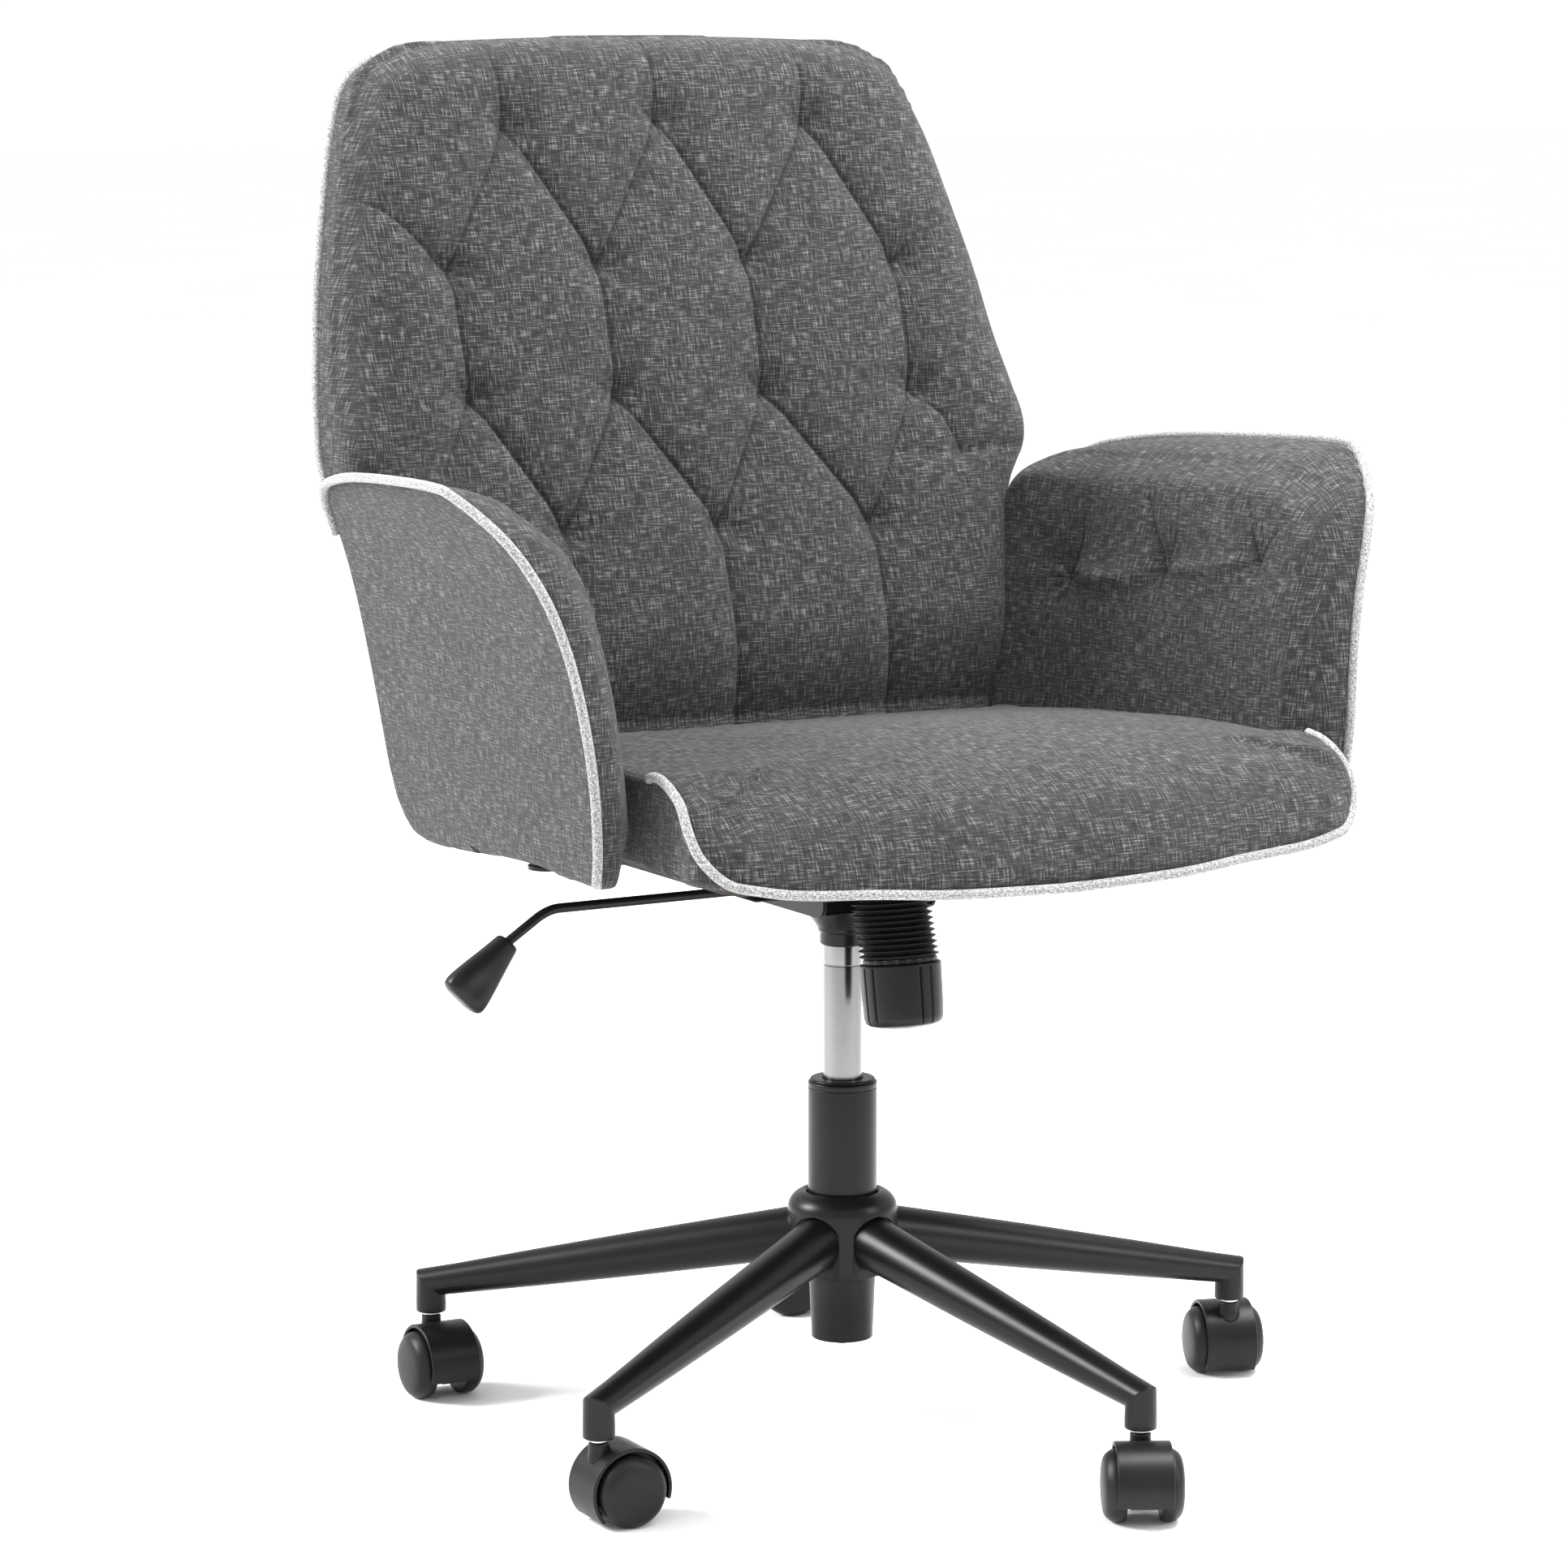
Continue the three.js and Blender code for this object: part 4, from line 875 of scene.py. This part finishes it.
# ---- Mechanism ----
def make_collar():
    """The flared cast collar that the cylinder's taper grips, with a small bush at its mouth."""
    collar = turned("collar", [
        (CYLINDER_RADIUS + 0.4, COLLAR_BOTTOM, 0), (15.6, COLLAR_BOTTOM, 0.5), (16.6, COLLAR_BOTTOM + 1, 0.6),
        (16.6, COLLAR_BOTTOM + 9, 0.3), (18.0, COLLAR_BOTTOM + 10.2, 0.6), (18.6, COLLAR_BOTTOM + 13, 1),
        (22, COLLAR_BOTTOM + 18, 4), (27.5, COLLAR_BOTTOM + 24.5, 4), (34, HOUSING_BOTTOM + 0.5, 2),
        (36, HOUSING_BOTTOM + 1.2, 0),
        (CYLINDER_RADIUS + 0.4, HOUSING_BOTTOM + 1.2, 0), (CYLINDER_RADIUS + 0.4, COLLAR_BOTTOM, 0)],
        "lift", coated, 96)
    return collar


def make_housing():
    """A pressed tray with folded walls, the collar welded under it and cheeks beside the bellows."""
    wide = 47.0
    deep_front = -52.0
    rear = 75.0
    low = HOUSING_BOTTOM
    top = HOUSING_TOP
    outline = [(deep_front + 9, low), (rear - 9, low), *arc((rear - 9, low + 9), 9, -90, 0, 8),
               (rear, top), (deep_front, top), *arc((deep_front + 9, low + 9), 9, 180, 270, 8)]
    for side in (-1, 1):
        cheek = extruded(f"housing_cheek_{'left' if side > 0 else 'right'}", outline, 1.5, "lift", coated,
                         0.5)
        turn = Matrix(((0, 0, 1, side * (wide - 1.5)), (1, 0, 0, 0), (0, 1, 0, 0), (0, 0, 0, 1)))
        moved(cheek, turn)
        clean(cheek)
    floor = [(-wide + 3, -38.0), (wide - 3, -38.0), (wide - 3, rear - 3), (-wide + 3, rear - 3)]
    tray = extruded("housing_tray", floor, 1.5, "lift", coated, 0.5)
    moved(tray, Matrix.Translation((0, 0, low + 1.5)))
    tongue_outline = [*arc((0, 0), BELLOWS_RADIUS + 2.5, 180, 360, 33), (30, 34), (-30, 34)]
    tongue = extruded("spring_tongue", tongue_outline, 1.8, "lift", coated, 0.5)
    moved(tongue, spring_axis(Matrix.Translation((0, 0, 2.1))))
    for name, y in (("front", -36.5), ("rear", rear - 1.5)):
        wall = extruded(f"housing_wall_{name}", [(-wide + 3, low), (wide - 3, low), (wide - 3, top),
                (-wide + 3, top)],
                        1.5, "lift", coated, 0.5)
        moved(wall, Matrix.Translation((0, y, 0)) @ rotation("X", 90))
    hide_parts("tilt_housing")


def spring_axis(matrix=None):
    """From the spring's own axis to its leaning place."""
    lean = Matrix.Translation(SPRING_SEAT) @ Matrix.Rotation(-SPRING_LEAN, 4, "X")
    return lean @ matrix if matrix else lean


def make_bellows():
    pitch = (BELLOWS_LENGTH - 0.3) / BELLOWS_FOLDS
    corners = [(BELLOWS_RADIUS - 6, -BELLOWS_LENGTH - CUFF, 0),
               (BELLOWS_RADIUS - 2, -BELLOWS_LENGTH - CUFF, 0.4),
               (BELLOWS_RADIUS - 2, -BELLOWS_LENGTH - 0.4, 0.4), (BELLOWS_RADIUS - 3.4, -BELLOWS_LENGTH, 0.2)]
    for i in range(BELLOWS_FOLDS):
        corners.append((BELLOWS_RADIUS + 0.2, -BELLOWS_LENGTH + (i + 0.5) * pitch, 0.6))
        corners.append((BELLOWS_RADIUS - 4.2, -BELLOWS_LENGTH + (i + 1) * pitch, 0.6))
    corners += [(BELLOWS_RADIUS - 6, -0.3, 0), (BELLOWS_RADIUS - 6, -BELLOWS_LENGTH - CUFF, 0)]
    sleeve = turned("bellows", corners, None, rubber, 96, 4)
    bent = read_points(sleeve)
    share = np.clip((bent[:, 2] + BELLOWS_LENGTH) / BELLOWS_LENGTH, 0, 1)
    bent[:, 0] -= BELLOWS_BEND * share
    write_points(sleeve, bent)
    moved(sleeve, spring_axis())
    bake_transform(sleeve)
    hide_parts("tension_bellows")
    turns = 5
    angles = np.linspace(0, turns * 2 * np.pi, turns * 36)
    rise = np.linspace(-BELLOWS_LENGTH + 2.4, -2.4, len(angles))
    coil = tube("spring_coil", np.stack([17 * np.cos(angles), 17 * np.sin(angles), rise], 1), 2.0,
                None, grey_steel, 10)
    moved(coil, spring_axis())
    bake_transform(coil)
    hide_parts("tension_spring")


def make_knob():
    """A round knob with pairs of grooves down its side."""
    sides = 360
    pairs = 4
    bottom = KNOB_TOP - KNOB_LENGTH
    profile = rounded_profile([
        (0, bottom, 0), (KNOB_RADIUS * 0.5, bottom + 0.6, 6), (KNOB_RADIUS - 3.2, bottom + 3.4, 3),
        (KNOB_RADIUS - 1.0, bottom + 6.5, 3), (KNOB_RADIUS - 0.4, bottom + 20, 0),
        (KNOB_RADIUS, KNOB_TOP - 2.4, 0.5),
        (KNOB_RADIUS, KNOB_TOP - 1, 1), (KNOB_RADIUS - 1, KNOB_TOP, 0.5), (4.4, KNOB_TOP, 0),
        (4.4, KNOB_TOP - 36, 0), (0, KNOB_TOP - 36, 0)])
    extra = [np.array((KNOB_RADIUS - 0.4 + 0.4 * t, bottom + 20 + (KNOB_TOP - 2.4 - bottom - 20) * t))
             for t in (0.3, 0.6, 0.9)]
    place = next(i for i, p in enumerate(profile) if p[1] > bottom + 21)
    profile = profile[:place] + extra + profile[place:]
    points, faces = lathe_mesh(profile, sides)
    points = np.array(points)
    angle = np.arctan2(points[:, 1], points[:, 0])
    phase = (angle * pairs / (2 * np.pi) + GROOVE_START) % 1.0
    groove = sum(np.exp(-((phase - place) / 0.016) ** 2) for place in (0.4, 0.6))
    height = points[:, 2]
    reach = smoothstep(bottom + 1.5, bottom + 7, height) * (1 - smoothstep(KNOB_TOP - 2.6, KNOB_TOP - 1.6,
            height))
    radius = np.hypot(points[:, 0], points[:, 1])
    outside = smoothstep(KNOB_RADIUS - 6, KNOB_RADIUS - 2, radius)
    shrink = 1 - 2.2 * groove * reach * outside / np.maximum(radius, 1)
    points[:, :2] *= shrink[:, None]
    knob = clean(add_piece("tension_grip", points, faces, "knob", plastic))
    moved(knob, spring_axis())
    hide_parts("tension_knob")


def make_lever():
    """A bent rod with a moulded paddle grip."""
    bend = np.array((-238.0, 0, LEVER_HEIGHT))
    grip_top = np.array((-268.4, 0, 377.4))
    before = bend + (9, 0, 0)
    after = bend + (grip_top - bend) * 0.32
    knee = [(1 - t) ** 2 * before + 2 * t * (1 - t) * bend + t ** 2 * after for t in np.linspace(0, 1, 9)]
    slope = (np.array((-math.cos(math.radians(45)), 0, -math.sin(math.radians(45)))))
    path = [np.array((x, 0, LEVER_HEIGHT)) for x in np.linspace(18, before[0] + 6, 18)] + knee
    path += [grip_top, grip_top + slope * 8]
    rod = tube("lever_bar", path, LEVER_RADIUS, "lever", coated, 24)
    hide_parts("lever_rod")
    length = 54.0
    sides = 64
    rings = []
    # Along the grip: share of its length, half its width, half its thickness.
    sections = [(0.0, 6.5, 6.2), (0.015, 7.8, 7.2), (0.05, 8.6, 7.6), (0.18, 9.8, 8.2), (0.4, 12.6, 8.9),
                (0.6, 15.2, 9.6),
                (0.78, 17.3, 10.2), (0.9, 17.9, 10.2), (0.96, 16.6, 9.2), (0.99, 13.6, 7.2), (1.0, 9.5, 4.8)]
    for share, half_width, half_thick in sections:
        ring = []
        for a in np.linspace(0, 2 * np.pi, sides, endpoint=False):
            c, s = math.cos(a), math.sin(a)
            x = half_width * math.copysign(abs(c) ** 0.75, c)
            y = half_thick * math.copysign(abs(s) ** 0.75, s)
            ring.append((x, y, -length * share))
        rings.append(ring)
    grip = clean(add_piece("lever_paddle", *capped_skin(rings), "lever", plastic))
    subdivided(grip, 2)
    shape = read_points(grip)
    side = np.sign(shape[:, 1])
    dish = np.exp(-((shape[:, 2] + length * 0.72) / 9.5) ** 2 - (shape[:, 0] / 8.0) ** 2)
    shape[:, 1] -= side * 1.6 * dish * smoothstep(3, 6, np.abs(shape[:, 1]))
    write_points(grip, shape)
    moved(grip, Matrix.Translation((grip_top[0] - 0.4, 0, grip_top[2] - 0.4)) @ rotation("Y", 45))
    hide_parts("lever_grip")


make_collar()
make_housing()
make_bellows()
make_knob()
make_lever()


# ---- Back ----
# Half the back's edge at its piping, from its foot over the hips to the top: across, up the back.
BACK_HALF = [(225, -182), (234, -132), (243, -82), (252, -32), (259, 5), (266, 33), (274, 46), (284, 60),
             (288.5, 78),
             (289, 95), (287, 115), (285, 136), (279, 175), (272, 216), (258, 276), (250, 308), (241, 337),
             (234, 357),
             (225, 371), (213, 380), (199, 387), (182, 391), (90, 394.5), (0, 395.5)]
HEAD_TUFTS = [(-128, 319), (0, 323), (127, 320)]
UPPER_TUFTS = [(-189, 213), (-67, 214), (59, 214), (188, 209)]
LOWER_TUFTS = [(-187, 115), (-68, 114), (56, 113), (186, 110)]
FOOT_TUFTS = [(-125, 15), (2, 13), (133, 9)]
BACK_TUFTS = HEAD_TUFTS + UPPER_TUFTS + LOWER_TUFTS + FOOT_TUFTS
TUCK_START = -55


def back_outline(grow=0.0):
    """The back's edge as a closed outline, moved outwards by grow."""
    right = [(x + grow * (x > 100), s + grow * (s > 360)) for x, s in BACK_HALF]
    left = [(-x, s) for x, s in reversed(right[:-1])]
    return smooth_curve(right + left, 9.0)


def back_creases():
    """Stitched creases between the tufts and out to the edge: a path and its strength at both ends."""
    creases = [([tuft, (tuft[0] * 1.02, 394)], 0.9, 0.55) for tuft in HEAD_TUFTS]
    creases += [([upper, lower], 1.0, 1.0) for upper, lower in zip(UPPER_TUFTS, LOWER_TUFTS)]
    creases += [([tuft, (tuft[0], -150)], 1.0, 0.7) for tuft in FOOT_TUFTS]
    for three, four in ((HEAD_TUFTS, UPPER_TUFTS), (FOOT_TUFTS, LOWER_TUFTS)):
        for index, tuft in enumerate(three):
            creases += [([tuft, four[index]], 1.0, 1.0), ([tuft, four[index + 1]], 1.0, 1.0)]
    creases += [([(-189, 213), (-203, 223), (-216, 239), (-233, 256), (-251, 270), (-271, 284)], 1.0, 0.5),
                ([(188, 209), (205, 225), (229, 250), (240, 266)], 1.0, 0.0),
                ([(186, 110), (191, 104), (209, 87), (220, 58)], 1.0, 0.5),
                ([(-187, 115), (-198, 98), (-209, 79), (-219, 61)], 1.0, 0.5)]
    return creases


BACK_CREASES = back_creases()
# Soft folds without a stitch line: a path, its depth at the start and at the end.
BACK_FOLDS = [([(150, 60), (210, 58), (275, 62)], 1.5, 3.0), ([(196, 106), (225, 98), (245, 92)], 1.6, 0.0),
              ([(-197, 218), (-225, 214), (-245, 212)], 1.6, 0.0)]


def back_relief(x, s):
    """How far the back's front face sinks below its crown, and how much painted shade in its creases and
    round its tufts, with the creases' stitch thread, darkens its colour.
    """
    depth, stitch_and_fold_shade = pulled_in(BACK_TUFTS, BACK_CREASES, x, s, 12.5, 5.0)
    for path, first, last in BACK_FOLDS:
        gap, along, length = path_distance(path, x, s)
        depth += (first + (last - first) * along / length) * np.exp(-(gap / 6) ** 1.5)
    tuck = np.clip(TUCK_START - s, 0, None) / 69
    return depth + np.minimum(22 * tuck ** 2, 24), stitch_and_fold_shade


def to_back(points):
    """From back coordinates (x, along, depth towards the sitter from the piping) to the row frame."""
    x, s, c = points.T
    offset = PIPING_OFFSET - c
    y = BACK_Y + s * math.sin(BACK_LEAN) + offset * math.cos(BACK_LEAN)
    z = BACK_Z + s * math.cos(BACK_LEAN) - offset * math.sin(BACK_LEAN)
    return np.stack([x, y, z], 1)


def from_back(points):
    x, y, z = points.T
    s = (y - BACK_Y) * math.sin(BACK_LEAN) + (z - BACK_Z) * math.cos(BACK_LEAN)
    offset = (y - BACK_Y) * math.cos(BACK_LEAN) - (z - BACK_Z) * math.sin(BACK_LEAN)
    return np.stack([x, s, PIPING_OFFSET - offset], 1)


def near_tufts(tufts, a, b):
    """1 at a tuft, falling to 0 within about its width."""
    near = np.zeros(len(a))
    for tuft_a, tuft_b in tufts:
        near = np.maximum(near, np.exp(-(np.hypot(a - tuft_a, b - tuft_b) / 9) ** 2))
    return near


def back_rounding(x, s):
    """The front's edges are round at the shoulders and fuller at the hips."""
    corner = smoothstep(120, 200, np.abs(x)) * smoothstep(300, 380, s)
    return 20.0 + 22.0 * smoothstep(70, 160, s) + 9.0 * corner


def make_back():
    outline = back_outline()
    thick = PIPING_OFFSET - BACK_FRONT - 5
    field = pillow_field(outline, thick, back_rounding, 2.0)
    points, quads = surface_net(field, (-300, -195, -8), (300, 410, thick + 8), 5.0)
    points = onto_surface(field, points)
    cushion = add_piece("back_pad", to_back(points), quads, None, linen)
    front = smoothstep(thick * 0.45, thick * 0.9, points[:, 2])
    near = near_tufts(BACK_TUFTS, points[:, 0], points[:, 1])
    for path, _, _ in BACK_CREASES:
        gap, _, _ = path_distance(path, points[:, 0], points[:, 1])
        near = np.maximum(near, 0.6 * np.exp(-(gap / 5) ** 2))
    held = np.clip(near * front + (1 - front) ** 2, 0, 1)
    puffed(cushion, held, 4.0, 6.0)
    subdivided(cushion, 2)
    local = from_back(read_points(cushion))
    front = smoothstep(thick * 0.35, thick * 0.85, local[:, 2])
    crown = 3.0 * (1 - (local[:, 0] / BACK_HALF_WIDTH) ** 2)
    depth, stitch_and_fold_shade = back_relief(local[:, 0], local[:, 1])
    local[:, 2] += front * (crown - depth)
    write_points(cushion, to_back(local))
    # painted shade in the creases and round the tufts, with the stitch thread, goes into the front face's
    # colour
    mark_stitch_and_fold_shade(cushion, stitch_and_fold_shade * front)
    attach(cushion, "seat")
    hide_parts("back_cushion")

    shell_field = pillow_field(back_outline(-2.0), 18.0, lambda x, s: 2.0, 11.0)
    points, quads = surface_net(shell_field, (-300, -195, -8), (300, 410, 26), 5.0)
    points = onto_surface(shell_field, points)
    points[:, 2] -= 18.6
    upright = np.clip(1 - ((points[:, 1] - 100) / 290) ** 2, 0, 1)
    bulge = 3.0 * (1 - (points[:, 0] / BACK_HALF_WIDTH) ** 2) * upright
    points[:, 2] -= bulge * smoothstep(-4, -16, points[:, 2])
    shell = add_piece("back_rear", to_back(points), quads, "seat", linen)
    subdivided(shell, 1)
    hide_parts("back_shell")

    ring = outline[(outline[:, 1] > -170)]
    path = to_back(np.column_stack([ring, np.full(len(ring), 0.0)]))
    tube("back_piping", smooth_curve(path[::2], 4.0), PIPING_RADIUS, "seat", heather, 14)


# ---- Arms ----
# An arm's outer face in Y and Z: up its front, over the top, and down its rear to the sagging lower edge.
ARM_PIPED = [(-184, 445), (-191, 470), (-194, 510), (-190, 554), (-183, 601), (-173, 641), (-153, 674),
             (-114, 699),
             (-85, 703.5), (0, 701), (80, 696), (130, 690), (168, 682), (188, 669), (196, 645)]
ARM_PLAIN = [(198, 600), (198, 520), (198, 474), (193, 449), (176, 431), (148, 426), (110, 427), (63, 431),
             (20, 435),
             (-22, 439), (-62, 441), (-132, 441), (-174, 442)]
ARM_TUFTS = [(104, 590), (-3, 605), (-107, 621)]
ARM_CREASES = [([(104, 590), (96, 616), (96, 640), (93, 680)], 1.0, 0.2),
               ([(-3, 605), (2, 619), (14, 634), (34, 665), (46, 690)], 1.0, 0.3),
               ([(-3, 605), (-13, 626), (-13, 650)], 0.7, 0.0),
               ([(-107, 621), (-98, 637), (-90, 651), (-74, 678), (-60, 696)], 1.0, 0.3),
               ([(-107, 621), (-118, 637), (-133, 650), (-143, 662)], 0.9, 0.0),
               ([(104, 590), (104, 562)], 0.8, 0.0), ([(-3, 605), (-5, 580)], 0.8, 0.0),
               ([(-107, 621), (-109, 596)], 0.8, 0.0)]
ARM_THICKNESS = 40.0
ARM_REAR_SWELL = 9.0


def arm_outer(y, z):
    """Distance from the middle plane to the arm's outer face, which leans out and flares at the top."""
    rise = np.clip((z - 445) / 256, -0.1, 1.1)
    high = np.clip(rise, 0, 2)
    front = 298 + 20 * rise + 55 * high ** 4
    rear = 259 + 48 * rise + 30 * high ** 6
    return front + (rear - front) * (y + 198) / 402


def to_arm(points, side):
    """From arm coordinates (y, z, depth inwards from the outer face) to the row frame."""
    y, z, c = points.T
    return np.stack([side * (arm_outer(y, z) - c), y, z], 1)


def arm_rounding(y, _z):
    """The inner face's edges are round in front and fuller where the arm meets the back."""
    return 30.0 - 16.0 * smoothstep(90, 180, y)


def make_arm(name, side):
    outline = smooth_curve(ARM_PIPED + ARM_PLAIN, 9.0, closed=True)
    field = pillow_field(outline, ARM_THICKNESS, arm_rounding, 2.0)
    points, quads = surface_net(field, (-210, 414, -6), (212, 718, ARM_THICKNESS + 8), 4.5)
    points = onto_surface(field, points)
    share = np.clip(points[:, 2] / ARM_THICKNESS, 0, 1)
    rise = points[:, 1]
    points[:, 2] += share * (11 * smoothstep(600, 690, rise) + ARM_REAR_SWELL * smoothstep(70, 190,
            points[:, 0]))
    points[:, 0] += 14 * smoothstep(-150, -200, points[:, 0]) * share ** 2
    points[:, 2] -= share ** 2 * 14 * (1 - smoothstep(442, 480, rise))
    points[:, 1] -= 7 * smoothstep(640, 700, rise) * share
    if side < 0:
        quads = quads[:, ::-1]
    pad = add_piece(f"arm_{name}", to_arm(points, side), quads, None, linen)
    inner = smoothstep(0.45, 0.9, share)
    near = near_tufts(ARM_TUFTS, points[:, 0], points[:, 1])
    held = np.clip(near * inner + (1 - inner) ** 2, 0, 1)
    puffed(pad, held, 4.0, 5.0)
    subdivided(pad, 2)
    shape = read_points(pad)
    depth = arm_outer(shape[:, 1], shape[:, 2]) - side * shape[:, 0]
    inner = smoothstep(ARM_THICKNESS * 0.4, ARM_THICKNESS * 0.9, depth)
    sunk, stitch_and_fold_shade = pulled_in(ARM_TUFTS, ARM_CREASES, shape[:, 1], shape[:, 2], 9.0, 3.5)
    shape[:, 0] += side * inner * sunk
    write_points(pad, shape)
    # painted shade in the creases and round the tufts, with the stitch thread, goes into the inner face's
    # colour
    mark_stitch_and_fold_shade(pad, stitch_and_fold_shade * inner)
    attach(pad, "seat")
    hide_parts(f"arm_pad_{name}")
    line = smooth_curve(ARM_PIPED, 4.0)
    path = to_arm(np.column_stack([line, np.full(len(line), -0.5)]), side)
    tube(f"arm_piping_{name}", path, PIPING_RADIUS, "seat", heather, 14)


# ---- Seat ----
# The seat's lower front piping, from the middle to the arm: x, y, z.
SEAT_PIPING = [(4, -302, 437), (65, -303, 439), (102, -298, 440), (145, -291, 443), (200, -284, 446),
               (231, -279, 451),
               (244, -272, 454), (253, -265, 461), (261, -257, 473), (264, -248, 487), (263, -236, 501),
               (262, -219, 510),
               (260, -203, 513.5)]
SEAT_REAR = -4.0
SEAT_PIPING_TAIL = [(258, -190, 513), (256, -181, 510.5)]


def seat_lean(points):
    """The stuffing has settled: the seam's upper stretch is lower on the sitter's left than on the right."""
    points[:, 2] -= 3.0 * points[:, 0] / 260 * smoothstep(470, 500, points[:, 2])
    return points


def seat_outline():
    """The seat's plan with, at each point, the height of its upper seam and how far its top rounds in."""
    half = [(x, y, z, 88.0) for x, y, z in SEAT_PIPING]
    half += [(256, -180, 509, 40), (252, -120, 507, 30), (246, -40, 504, 28), (240, 40, 499, 26),
             (234, 120, 490, 24),
             (231, 158, 484, 24)]
    ring = half + [(-x, y, z, r) for x, y, z, r in reversed(half)]
    return seat_lean(smooth_curve(ring, 8.0))


def make_seat():
    ring = seat_outline()
    plan = ring[:, :2]
    extra = np.vstack([ring, ring[:1]])

    def top_height(x, y):
        crown = 9 * (1 - (x / 265) ** 2) * np.exp(-((y + 60) / 170) ** 2)
        return 511 - 20 * smoothstep(-150, 160, y) + crown

    def field(x, y, z):
        edge, place = outline_distance(plan, x, y)
        base = place.astype(int)
        share = place - base
        seam = extra[base, 2] * (1 - share) + extra[np.minimum(base + 1, len(ring)), 2] * share
        reach = extra[base, 3] * (1 - share) + extra[np.minimum(base + 1, len(ring)), 3] * share
        high = np.maximum(top_height(x, y) - seam, 6)
        inset = np.maximum(reach + edge, 0) / reach
        lift = np.maximum(z - seam, 0) / high
        upper = (np.hypot(inset, lift) - 1) * np.minimum(reach, high)
        floor = 439 + 12 * smoothstep(170, 262, np.abs(x)) - z
        lower = (np.hypot(np.maximum(edge + 5, 0), np.maximum(floor + 5, 0)) - 5
                 + np.minimum(np.maximum(edge, floor) + 5, 0))
        back = y - (BACK_Y + (z - BACK_Z) * math.tan(BACK_LEAN) + SEAT_REAR / math.cos(BACK_LEAN))
        return np.maximum(np.maximum(upper, lower), back)

    points, quads = surface_net(field, (-275, -318, 428), (275, 190, 532), 5.0)
    points = onto_surface(field, points, 2)
    seat = add_piece("seat_pad", points, quads, None, linen)
    edge, _ = outline_distance(plan, points[:, 0], points[:, 1])
    high = smoothstep(455, 490, points[:, 2])
    inside = smoothstep(4, 40, -edge)
    brow = 0.6 * smoothstep(-200, -260, points[:, 1]) * smoothstep(448, 460, points[:, 2])
    free = np.clip(np.maximum(high * inside, brow), 0, 1) * (1 - smoothstep(110, 150, points[:, 1]))
    puffed(seat, 1 - free, 4.0, 6.0)
    subdivided(seat, 1)
    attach(seat, "seat")
    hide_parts("seat_cushion")

    full = np.vstack([np.array(SEAT_PIPING + SEAT_PIPING_TAIL, float)[::-1] * (-1, 1, 1),
                      np.array(SEAT_PIPING, float)])
    tube("seat_piping", seat_lean(smooth_curve(full, 4.0)), PIPING_RADIUS, "seat", heather, 14)


make_back()
make_arm("left", 1)
make_arm("right", -1)
make_seat()


# ---- Under the seat ----
STRAP_PLACES = (-45, 42)
STRAP_HEIGHT = 435.6


def bolt_head(name, x, y, z):
    """A flanged hexagon head below a plate at height z."""
    hexagon = [(6.2 * math.cos(a), 6.2 * math.sin(a)) for a in np.arange(6) * math.pi / 3]
    head = extruded(f"{name}_head", hexagon, 2.2, "seat", zinc, 0.5)
    moved(head, Matrix.Translation((x, y, z - 3.8)))
    flange = turned(f"{name}_flange", [(0, 0, 0), (8.2, 0, 0.4), (7.6, -1.6, 0.3), (0, -1.6, 0)], "seat",
                    zinc, 32)
    moved(flange, Matrix.Translation((x, y, z)))


def arm_strap(name, side):
    """The two flat straps, on one plate, that carry an arm out from under the seat."""
    for number, y in enumerate(STRAP_PLACES):
        outline = [(side * 150, y - 13), (side * 262, y - 13),
                   *[(side * p, q) for p, q in arc((262, y), 13, -90, 90, 13)],
                   (side * 150, y + 13)]
        strap = extruded(f"arm_strap_{name}_{number + 1}", outline, 1.5, "seat", coated, 0.4)
        moved(strap, Matrix.Translation((0, 0, STRAP_HEIGHT)))
    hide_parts(f"arm_bracket_{name}")


arm_strap("left", 1)
arm_strap("right", -1)
for bolt_number, (bolt_x, bolt_y) in enumerate([(86, 75), (86, -100), (-86, 75), (-86, -100)]):
    bolt_head(f"plate_bolt_{bolt_number + 1}", bolt_x, bolt_y, PLATE_BOTTOM)


# ---- Stage and light ----
def make_stage():
    """A white paper floor."""
    material, tree, shader = new_material("stage_white", (0.96, 0.96, 0.96), 0.9)
    drift = noise(tree, object_coordinates(tree), 1.5, 2.0)
    coloured(tree, shader, drift, [(0.3, (0.95, 0.95, 0.95)), (0.7, (0.97, 0.97, 0.97))])
    mesh = bpy.data.meshes.new("floor")
    mesh.from_pydata([(-30, -30, 0), (30, -30, 0), (30, 30, 0), (-30, 30, 0)], [], [(0, 1, 2, 3)])
    mesh.materials.append(material)
    floor = bpy.data.objects.new("floor", mesh)
    bpy.context.scene.collection.objects.link(floor)


def add_light(name, place, target, size, power):
    light = bpy.data.lights.new(name, "AREA")
    light.shape = "RECTANGLE"
    light.size, light.size_y = size
    light.energy = power
    lamp = bpy.data.objects.new(name, light)
    lamp.location = place
    lamp.rotation_euler = (Vector(target) - Vector(place)).to_track_quat("-Z", "Y").to_euler()
    bpy.context.scene.collection.objects.link(lamp)


make_stage()
add_light("key", (-2.6, 1.5, 2.1), (0, 0, 0.6), (1.2, 1.2), 190)
add_light("front", (2.3, -2.8, 1.9), (0, 0, 0.6), (1.0, 1.4), 42)
add_light("top", (0.8, -0.5, 3.1), (0, 0, 0.4), (1.8, 1.8), 190)
world = bpy.data.worlds.new("world")
world.use_nodes = True
world.node_tree.nodes["Background"].inputs["Color"].default_value = (1.0, 1.0, 1.0, 1.0)
world.node_tree.nodes["Background"].inputs["Strength"].default_value = 1.04
bpy.context.scene.world = world
bpy.context.scene.view_settings.view_transform = "Standard"
